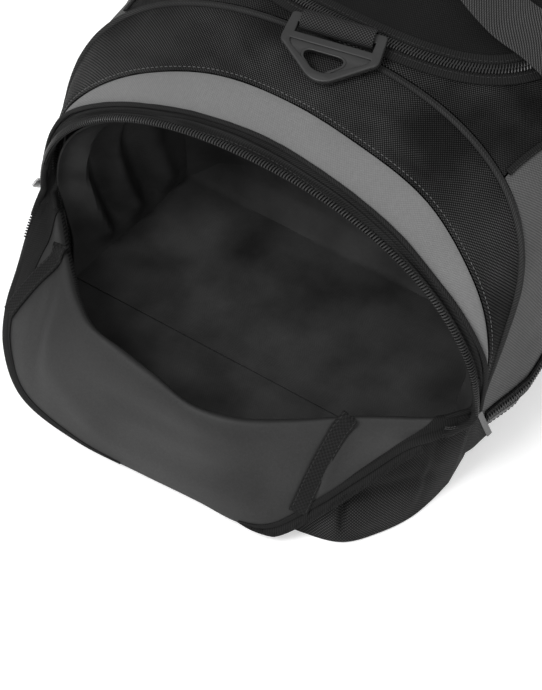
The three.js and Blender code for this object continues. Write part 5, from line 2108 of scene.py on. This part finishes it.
@dataclass
class Zips(Assembly):
    """Closed coil zips of the lid and the side pockets, and every slider."""

    form: BodyForm
    seat: float = 0.7
    tape_thick: float = 1.0
    coil_reach: float = 3.4
    coil_high: float = 2.2
    welt: float = 0.7
    stitch_set: float = 1.6
    gap: float = 0.3
    main_half: float = 11.0
    side_half: float = 8.0
    side_steps: int = 420
    main_stop: Pair = (3 / 11, 4 / 11)
    side_stop: Pair = (18 / 22, 19 / 22)
    pocket_slider: Triple = (-184.5, -336.0, 80.5)
    pocket_along: Triple = (-0.14, -0.75, 0.65)
    pocket_up: Triple = (-0.8, -0.1, 0.6)
    head_edge: Table = ((0, -2.6), (1.5, -3.9), (10, -3.9), (13, -2.2))
    head_thick: float = 1.5
    head_bevel: float = 0.45
    bridge: Table = ((1.5, 1.2, 1.1), (3.0, 2.5, 1.1), (6.0, 2.9, 1.0), (9.5, 2.6, 1.1), (11.5, 1.2, 1.1))
    pull_edge: Table = ((8, -1.6), (2, -2.0), (-4, -3.4), (-18, -4.0), (-21, -2.6), (-22, 0))
    pull_eye: Triple = (-18.0, 1.9, 1.7)
    pull_thick: float = 1.3
    pull_bevel: float = 0.4
    pull_rise: float = 3.85

    def build(self) -> None:
        """Makes the zips and sets the sliders on them."""
        run, girth = self.form.zip_track(self.form.zip_end, 150, 160)
        main = self.form.path(run, girth)
        self.build_zip(main, "main_zip", self.main_half)
        lift = self.seat + self.tape_thick + self.coil_high + self.gap
        spot = lerp(self.form.zip_end, self.form.zip_turn, np.array(self.main_stop))
        stop = self.form.path(spot, np.full(2, -self.form.zip_girth))
        self.build_slider("main_slider", stop, lift)
        for side in Side:
            run, girth = self.form.side_track(side.value, self.side_steps)
            self.build_zip(self.form.path(run, girth), f"side_zip_{side.word}", self.side_half)
            pick = [round((self.side_steps - 1) * share) for share in self.side_stop]
            stop = self.form.path(run[pick], girth[pick])
            self.build_slider(f"side_slider_{side.word}", stop, lift)
        place = np.array(self.pocket_slider)
        line = np.stack([place, place + np.array(self.pocket_along)])
        stop = Frames.along(line, np.array(self.pocket_up))
        self.build_slider("pocket_slider", stop, self.gap)

    def build_zip(self, frames: Frames, name: str, half: float) -> None:
        """Makes a tape, its two rows of teeth and the welts beside them.

        Args:
            frames: the zip's middle line on the cloth.
            name: CAD node that it stands for.
            half: half width of the tape.
        """
        section = strap_section(2 * half, self.tape_thick, self.seat)
        self.strip(frames, section, f"{name}_tape", ZIP_TAPE, [name])
        face = frames.moved(0.0, self.seat + self.tape_thick)
        self.coil(face.moved(0.0, -0.1), self.coil_reach, f"{name}_teeth", COIL, both=True)
        welt = half - self.coil_reach - 1.0
        for shift, edge in ((-1, "outer"), (1, "inner")):
            middle = face.moved(shift * (half - welt / 2), 0.0)
            self.strip(middle, strap_section(welt, self.welt), f"{name}_welt_{edge}", ZIP_TAPE)
            line = middle.moved(-shift * (welt / 2 - self.stitch_set), self.welt)
            self.seam(line, f"{name}_stitch_{edge}")

    def build_slider(self, name: str, frames: Frames, lift: float) -> None:
        """Makes a slider with its bridge and its pull lying back along the zip.

        Args:
            name: CAD node that it stands for.
            frames: its place and direction.
            lift: height of its underside over the place.
        """
        across = np.array([1.0, -1.0])
        head, pull = np.array(self.head_edge), np.array(self.pull_edge)
        head = np.concatenate([head, head[::-1] * across])
        pull = np.concatenate([pull, pull[-2::-1] * across])
        turn = full_turn(14)
        middle, long, wide = self.pull_eye
        eye = stacked(middle + long * np.cos(turn), wide * np.sin(turn))
        along, high, wire = np.array(self.bridge).T
        kit = MeshKit()
        spot = frames.point[:1] + frames.up[:1] * lift
        axes = frames.axes()[:1]
        parts = (
            (plate_shape([head], self.head_thick, self.head_bevel), self.head_thick / 2),
            (tube_shape(stacked(along, 0.0, high), wire, 10), 0.0),
            (plate_shape([pull, eye], self.pull_thick, self.pull_bevel), self.pull_rise),
        )
        for shape, rise in parts:
            kit.copies(shape, spot + frames.up[:1] * rise, axes)
        self.keep(kit, f"{name}_metal", NICKEL, [name])


@dataclass
class Handles(Assembly):
    """Two webbing carry handles sewn to the sides and meeting over the lid."""

    form: BodyForm
    width: float = 38.0
    thick: float = 2.2
    tail: float = 46.0
    stitch_set: float = 3.5
    rows: Table = (
        (0, 168, 0, 0.56, 1, 0),
        (0, 168, 0, 0.47, 1, 0),
        (0, 168, 0, 0.39, 4, 0),
        (0, 168, 0, 0.31, 7.5, 0),
        (0, 168, 0, 0.23, 9, 0),
        (0, 169, 0, 0.16, 11, 0.03),
        (44, 176, 292, 0, 0, 0.3),
        (29, 196, 309, 0, 0, 0.75),
        (24, 228, 323, 0, 0, 1),
        (23, 285, 332, 0, 0, 1),
    )
    crown: Pair = (23.0, 335.0)

    def build(self) -> None:
        """Makes both handles with their sewn tails."""
        section = strap_section(self.width, self.thick, -self.thick / 2)
        for side in Side:
            frames, node = self.path(side), f"handle_{side.word}"
            ripple = 1 + 0.012 * wander(frames.run / 17, 0.5 + side.value)
            self.strip(frames, section, f"handle_strap_{side.word}", STRAP, [node], ripple)
            self.sew(frames, side.word)

    def station(self, row: Sequence[float], side: Side) -> tuple[Array, Array]:
        """Point and up direction of one row.

        Args:
            row: place, girth where it lies on the body, lift and twist.
            side: which side.

        Returns:
            The two.
        """
        x, y, z, girth, lift, twist = row
        if girth == 0:
            up = unit(lerp(np.array([0.35, 0.0, 0.94]), np.array([1.0, 0.0, 0.0]), twist))
            climb = self.form.far_top - self.form.near_top
            rise = climb * float(self.form.run_at(y, np.zeros(1))[0])
            turn = np.array([side.value, 1.0, 1.0])
            return np.array([x, self.form.near_y + y, z + rise]) * turn, up * turn
        place = np.array([side.value * girth])
        run = self.form.run_at(y, place)
        up = self.form.normal(run, place)[0]
        return self.form.point(run, place)[0] + up * (lift + self.thick / 2), up

    def path(self, side: Side) -> Frames:
        """Frames of a whole handle.

        Args:
            side: which side.

        Returns:
            Frames from its near tail to its far one.
        """
        middle = self.form.lid_middle
        rows = [*self.rows, (self.crown[0], middle, self.crown[1], 0, 0, 1)]
        rows += [(x, 2 * middle - y, *rest) for x, y, *rest in reversed(self.rows)]
        points, ups = zip(*(self.station(row, side) for row in rows))
        share = shares(420)
        return Frames.along(spline(np.array(points), share), unit(spline(np.array(ups), share)))

    def sew(self, frames: Frames, name: str) -> None:
        """Sews a box with a cross on both tails.

        Args:
            frames: the handle's path.
            name: word for its side.
        """
        run = frames.run
        half = self.width / 2 - self.stitch_set
        for end, word in ((run < self.tail, "near"), (run > run[-1] - self.tail, "far")):
            tail = frames.part(end).moved(0.0, self.thick / 2)
            slant = half * np.linspace(-1, 1, len(tail.point))
            for letter, shift in zip("abcd", (half, -half, slant, -slant)):
                line = tail.moved(shift).squared
                self.seam(line, f"handle_stitch_{name}_{word}_{letter}")


def bent(start: Array, control: Array, end: Array, count: int = 8) -> Array:
    """Points of a bend from start to end, the start left out."""
    t = np.linspace(0, 1, count + 1)[1:, None]
    return (1 - t) ** 2 * start + 2 * t * (1 - t) * control + t**2 * end


def outline(start: Sequence[float], *parts: Sequence[float]) -> Array:
    """Outline of straight parts of two numbers and bends of four.

    Args:
        start: first corner.
        parts: corners, or a control point and a corner.

    Returns:
        Points of the outline.
    """
    points = [np.array([start], float)]
    for part in parts:
        last = points[-1][-1]
        if len(part) == 2:
            points.append(np.array([part], float))
        else:
            points.append(bent(last, np.array(part[:2], float), np.array(part[2:], float)))
    return np.concatenate(points)


@dataclass
class StrapRing(Assembly):
    """A moulded ring that swings on its bar inside a sewn loop of webbing."""

    name: str
    place: Triple
    yaw: float
    drop: float
    half: float = 34.0
    bar: float = 3.5
    tip: float = 41.0
    thick: float = 5.0
    web_thick: float = 2.0
    web_share: float = 0.93
    web_drop: float = 1.3
    lip_thick: float = 3.4
    lip_width: float = 2.2
    bevels: Triple = (1.1, 0.3, 0.7)
    shoulder: float = -15.0
    loop_width: float = 52.0
    loop_thick: float = 2.3
    loop_bore: float = 4.8
    stem: float = 8.2
    edge_soft: float = 2.5
    edge_ease: float = 0.03

    def build(self) -> None:
        """Makes the ring and its loop."""
        self.build_ring()
        self.build_loop()

    def axes(self, drop: float) -> Array:
        """Directions of the ring's own axes."""
        yaw, fall = Matrix.Rotation(math.radians(self.yaw), 3, "Z"), math.radians(drop)
        return np.array(yaw @ Matrix.Rotation(fall, 3, "X")).T[None]

    def build_ring(self) -> None:
        """Makes the frame, the sunk web and the rim of the eye."""
        h, b, s, t = self.half, self.bar, self.shoulder, self.tip
        outer = outline(
            (-h + 3, b),
            (h - 3, b),
            (h, b, h, 0),
            (h + 1, s - 1),
            (h + 1, s - 5, h - 3, s - 7),
            (9, -t + 1.5),
            (0, -t - 4, -9, -t + 1.5),
            (-h + 3, s - 7),
            (-h - 1, s - 5, -h - 1, s - 1),
            (-h, 0),
            (-h, b, -h + 3, b),
        )[:-1]
        wide = self.loop_width / 2 + 1.5
        slot = outline((-wide, -b), (-wide, s + 4), (wide, s + 4), (wide, -b))
        eye = outline(
            (-10, s - 6),
            (-18, s - 6, -15, s - 12),
            (-9, -t + 9),
            (-2, -t + 1, 5, -t + 9),
            (11, s - 12),
            (14, s - 6, 6, s - 6),
        )
        inner = outline(
            (-wide - 1, s - 1.5),
            (-wide - 1, s - 4, -wide + 2, s - 6.5),
            (-8, -t + 8),
            (0, -t + 3.5, 8, -t + 8),
            (wide - 2, s - 6.5),
            (wide + 1, s - 4, wide + 1, s - 1.5),
        )
        lip = eye + unit(eye - eye.mean(0)) * self.lip_width
        kit = MeshKit()
        place = np.array([self.place])
        web = outer * self.web_share - [[0, self.web_drop]]
        parts = (
            ([outer, slot, inner], self.thick),
            ([web, slot, eye], self.web_thick),
            ([lip, eye], self.lip_thick),
        )
        for (lines, thickness), bevel in zip(parts, self.bevels):
            kit.copies(plate_shape(lines, thickness, bevel), place, self.axes(self.drop))
        body = f"ring_{self.name}"
        self.keep(kit, f"{body}_frame", RING_PLASTIC, [f"strap_ring_{self.name}"], body)

    def build_loop(self) -> None:
        """Makes the loop of webbing round the bar, with its sewn stem."""
        reach = self.loop_bore + self.loop_thick
        flat = 0.9 * self.loop_thick
        notch = math.asin(flat / reach)
        angle = np.linspace(notch - np.pi / 2, 1.5 * np.pi - notch, 60)
        bend = reach * stacked(np.cos(angle), np.sin(angle))
        down = stacked(flat, np.linspace(-self.stem, bend[0, 1], 8)[:-1])
        loop = np.concatenate([down, bend, down[::-1] * MIRROR[:2]])
        half = self.loop_width / 2
        across = np.linspace(-half, half, 40)[:, None]
        ease = 1 - self.edge_ease * smooth(np.abs(across), half - self.edge_soft, half)
        grid = stacked(across, *(axis * ease for axis in loop.T))
        grid = grid @ self.axes(0.0)[0] + np.array(self.place)
        kit = MeshKit()
        kit.sheet(grid, self.loop_thick * 0.85, stacked(running(loop), across))
        self.keep(kit, f"ring_webbing_{self.name}", LOOP, [f"ring_loop_{self.name}"])


@dataclass
class Wheels(Assembly):
    """Two wheels at the far end, in housings let into the base."""

    radius: float = 32.2
    level: float = 32.5
    spread: float = 122.0
    y: float = 327.5
    hub_radius: float = 22.0
    width: float = 26.0
    bore: float = 4.6
    ribs: int = 5
    rib_edge: Pair = (0.55, 0.85)
    rib_high: float = 2.2
    sunk: float = 3.0
    steps: int = 120
    tyre_gap: float = 0.3

    def build(self) -> None:
        """Makes both wheels and dresses their housings."""
        parts = (("tyre", self.tyre(), RUBBER), ("hub", self.hub(), HOUSING_PLASTIC))
        for side in Side:
            name = side.word
            place = np.array([[side.value * self.spread, self.y, self.level]])
            for word, shape, finish in parts:
                kit = MeshKit()
                kit.copies(shape, place, np.eye(3)[None])
                self.keep(kit, f"{word}_{name}", finish, [f"wheel_{word}_{name}"], f"wheel_{name}")
            HOUSING_PLASTIC.dress(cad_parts[f"wheel_housing_{name}"])

    def tyre(self) -> Shape:
        """A tyre with tread grooves and a rounded shoulder.

        Returns:
            The tyre about its own middle.
        """
        half, bore, r = self.width / 2, self.hub_radius + self.tyre_gap, self.radius
        rows = [[bore, 1 - half], [r - 4, -half], [r - 1.6, 1 - half], [r, 4 - half]]
        rows += [[r, -5.2], [r - 1.5, -4.8], [r - 1.5, -3.2], [r, -2.8]]
        rows = np.array(rows)
        return turned(np.concatenate([rows, rows[::-1] * [1, -1]]), 96)

    def hub(self) -> Shape:
        """A hub with a sunk face and raised ribs.

        Returns:
            The hub about its own middle.
        """
        half, bore, rim = self.width / 2 - 1, self.bore, self.hub_radius
        face = self.sunk - half
        rows = [[bore, -half], [bore + 4, -half], [bore + 5, face], [11, face]]
        rows += [[15, face], [rim - 4, face], [rim - 2.4, -half], [rim, 0.6 - half]]
        rows = np.array(rows)
        rows = np.concatenate([rows, rows[::-1] * [1, -1]])
        shape, turn = turned(rows, self.steps), full_turn(self.steps)
        points = shape.points.reshape(self.steps, len(rows), 3)
        rib = smooth(np.cos(self.ribs * turn), *self.rib_edge)[:, None]
        sunk = np.abs(np.abs(points[..., 0]) + face) < 0.1
        sunk = sunk & (rim - 3 > rows[:, 0])
        points[..., 0] += np.where(sunk, self.rib_high * rib * np.sign(points[..., 0]), 0.0)
        return Shape(points.reshape(-1, 3), shape.faces)


@dataclass
class Studio:
    """Pale floor, soft lights and the camera."""

    target: Triple = (14.1, -340.0, 40.0)
    distance: float = 2000.0
    azimuth: float = 34.4
    elevation: float = 50.24
    lens: float = 148.59
    floor_half: float = 6.0
    floor_level: float = -0.0004
    glow: float = 0.4
    sky: float = 0.64
    lights: tuple[tuple[str, Triple, float, float], ...] = (
        ("key", (-0.4, -1.6, 2.3), 1.3, 54.0),
        ("fill", (2.0, -1.3, 1.6), 1.6, 14.0),
        ("back", (0.3, 2.2, 2.2), 1.8, 6.0),
    )

    def build(self) -> None:
        """Sets the stage."""
        self.build_floor()
        self.build_lights()
        self.build_camera()

    def build_floor(self) -> None:
        """Lays the floor."""
        half = self.floor_half / MM
        line = np.linspace(-half, half, 9)
        grid = stacked(line, line[:, None], self.floor_level / MM)
        kit = MeshKit()
        kit.add(grid, quads(np.arange(81).reshape(9, 9)), grid[..., :2])
        floor = kit.build("pale_floor")
        graph = Graph("pale_floor_paint")
        tone = graph.add("ShaderNodeMapRange", Value=graph.noise(2.0), To_Min=0.8, To_Max=0.84)
        grey = tone.outputs[0]
        mix = graph.add("ShaderNodeCombineColor", Red=grey, Green=grey, Blue=grey)
        graph.fill(
            graph.shader,
            Base_Color=mix.outputs[0],
            Roughness=0.9,
            Specular_IOR_Level=0.0,
            Emission_Color=(1.0, 1.0, 1.0, 1.0),
            Emission_Strength=self.glow,
        )
        floor.data.materials.append(graph.material)

    def build_lights(self) -> None:
        """Hangs the soft lights and sets the even sky."""
        aim = Vector(self.target) * MM
        for name, place, size, power in self.lights:
            light = bpy.data.lights.new(name, "AREA")
            light.shape = "DISK"
            light.size = size
            light.energy = power
            lamp = bpy.data.objects.new(name, light)
            lamp.location = aim + Vector(place)
            lamp.rotation_euler = (aim - lamp.location).to_track_quat("-Z", "Y").to_euler()
            bpy.context.scene.collection.objects.link(lamp)
        world = bpy.data.worlds.new("even_sky")
        world.use_nodes = True
        ground = world.node_tree.nodes["Background"]
        ground.inputs["Color"].default_value = (1.0, 1.0, 1.0, 1.0)
        ground.inputs["Strength"].default_value = self.sky
        bpy.context.scene.world = world
        bpy.context.scene.view_settings.view_transform = "Standard"

    def build_camera(self) -> None:
        """Sets the camera at the photograph's angle."""
        lens = bpy.data.cameras.new("camera")
        lens.lens = self.lens
        lens.sensor_width = 36.0
        lens.clip_end = 50.0
        camera = bpy.data.objects.new("camera", lens)
        a, e = math.radians(self.azimuth), math.radians(self.elevation)
        back = Vector((math.sin(a) * math.cos(e), -math.cos(a) * math.cos(e), math.sin(e)))
        camera.location = (Vector(self.target) + back * self.distance) * MM
        camera.rotation_euler = back.to_track_quat("Z", "Y").to_euler()
        bpy.context.scene.collection.objects.link(camera)
        bpy.context.scene.camera = camera


def main() -> None:
    """Builds the bag and the stage."""
    logging.basicConfig(level=logging.INFO, format="%(name)s: %(message)s")
    form = BodyForm()
    roof, front = EndForm(form), PocketForm(form.near_y)
    assemblies = (
        Shell(form),
        NearEnd(roof),
        Pocket(front),
        Corners(roof, front),
        Zips(form),
        Handles(form),
        StrapRing("near", (0.0, -239.0, 258.0), 12.0, 17.0),
        StrapRing("far", (0.0, 313.5, 269.0), 180.0, 77.0),
        Wheels(),
        Studio(),
    )
    for assembly in assemblies:
        assembly.build()
        LOG.info("%s done", type(assembly).__name__)
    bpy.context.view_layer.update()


if __name__ == "__main__":
    main()
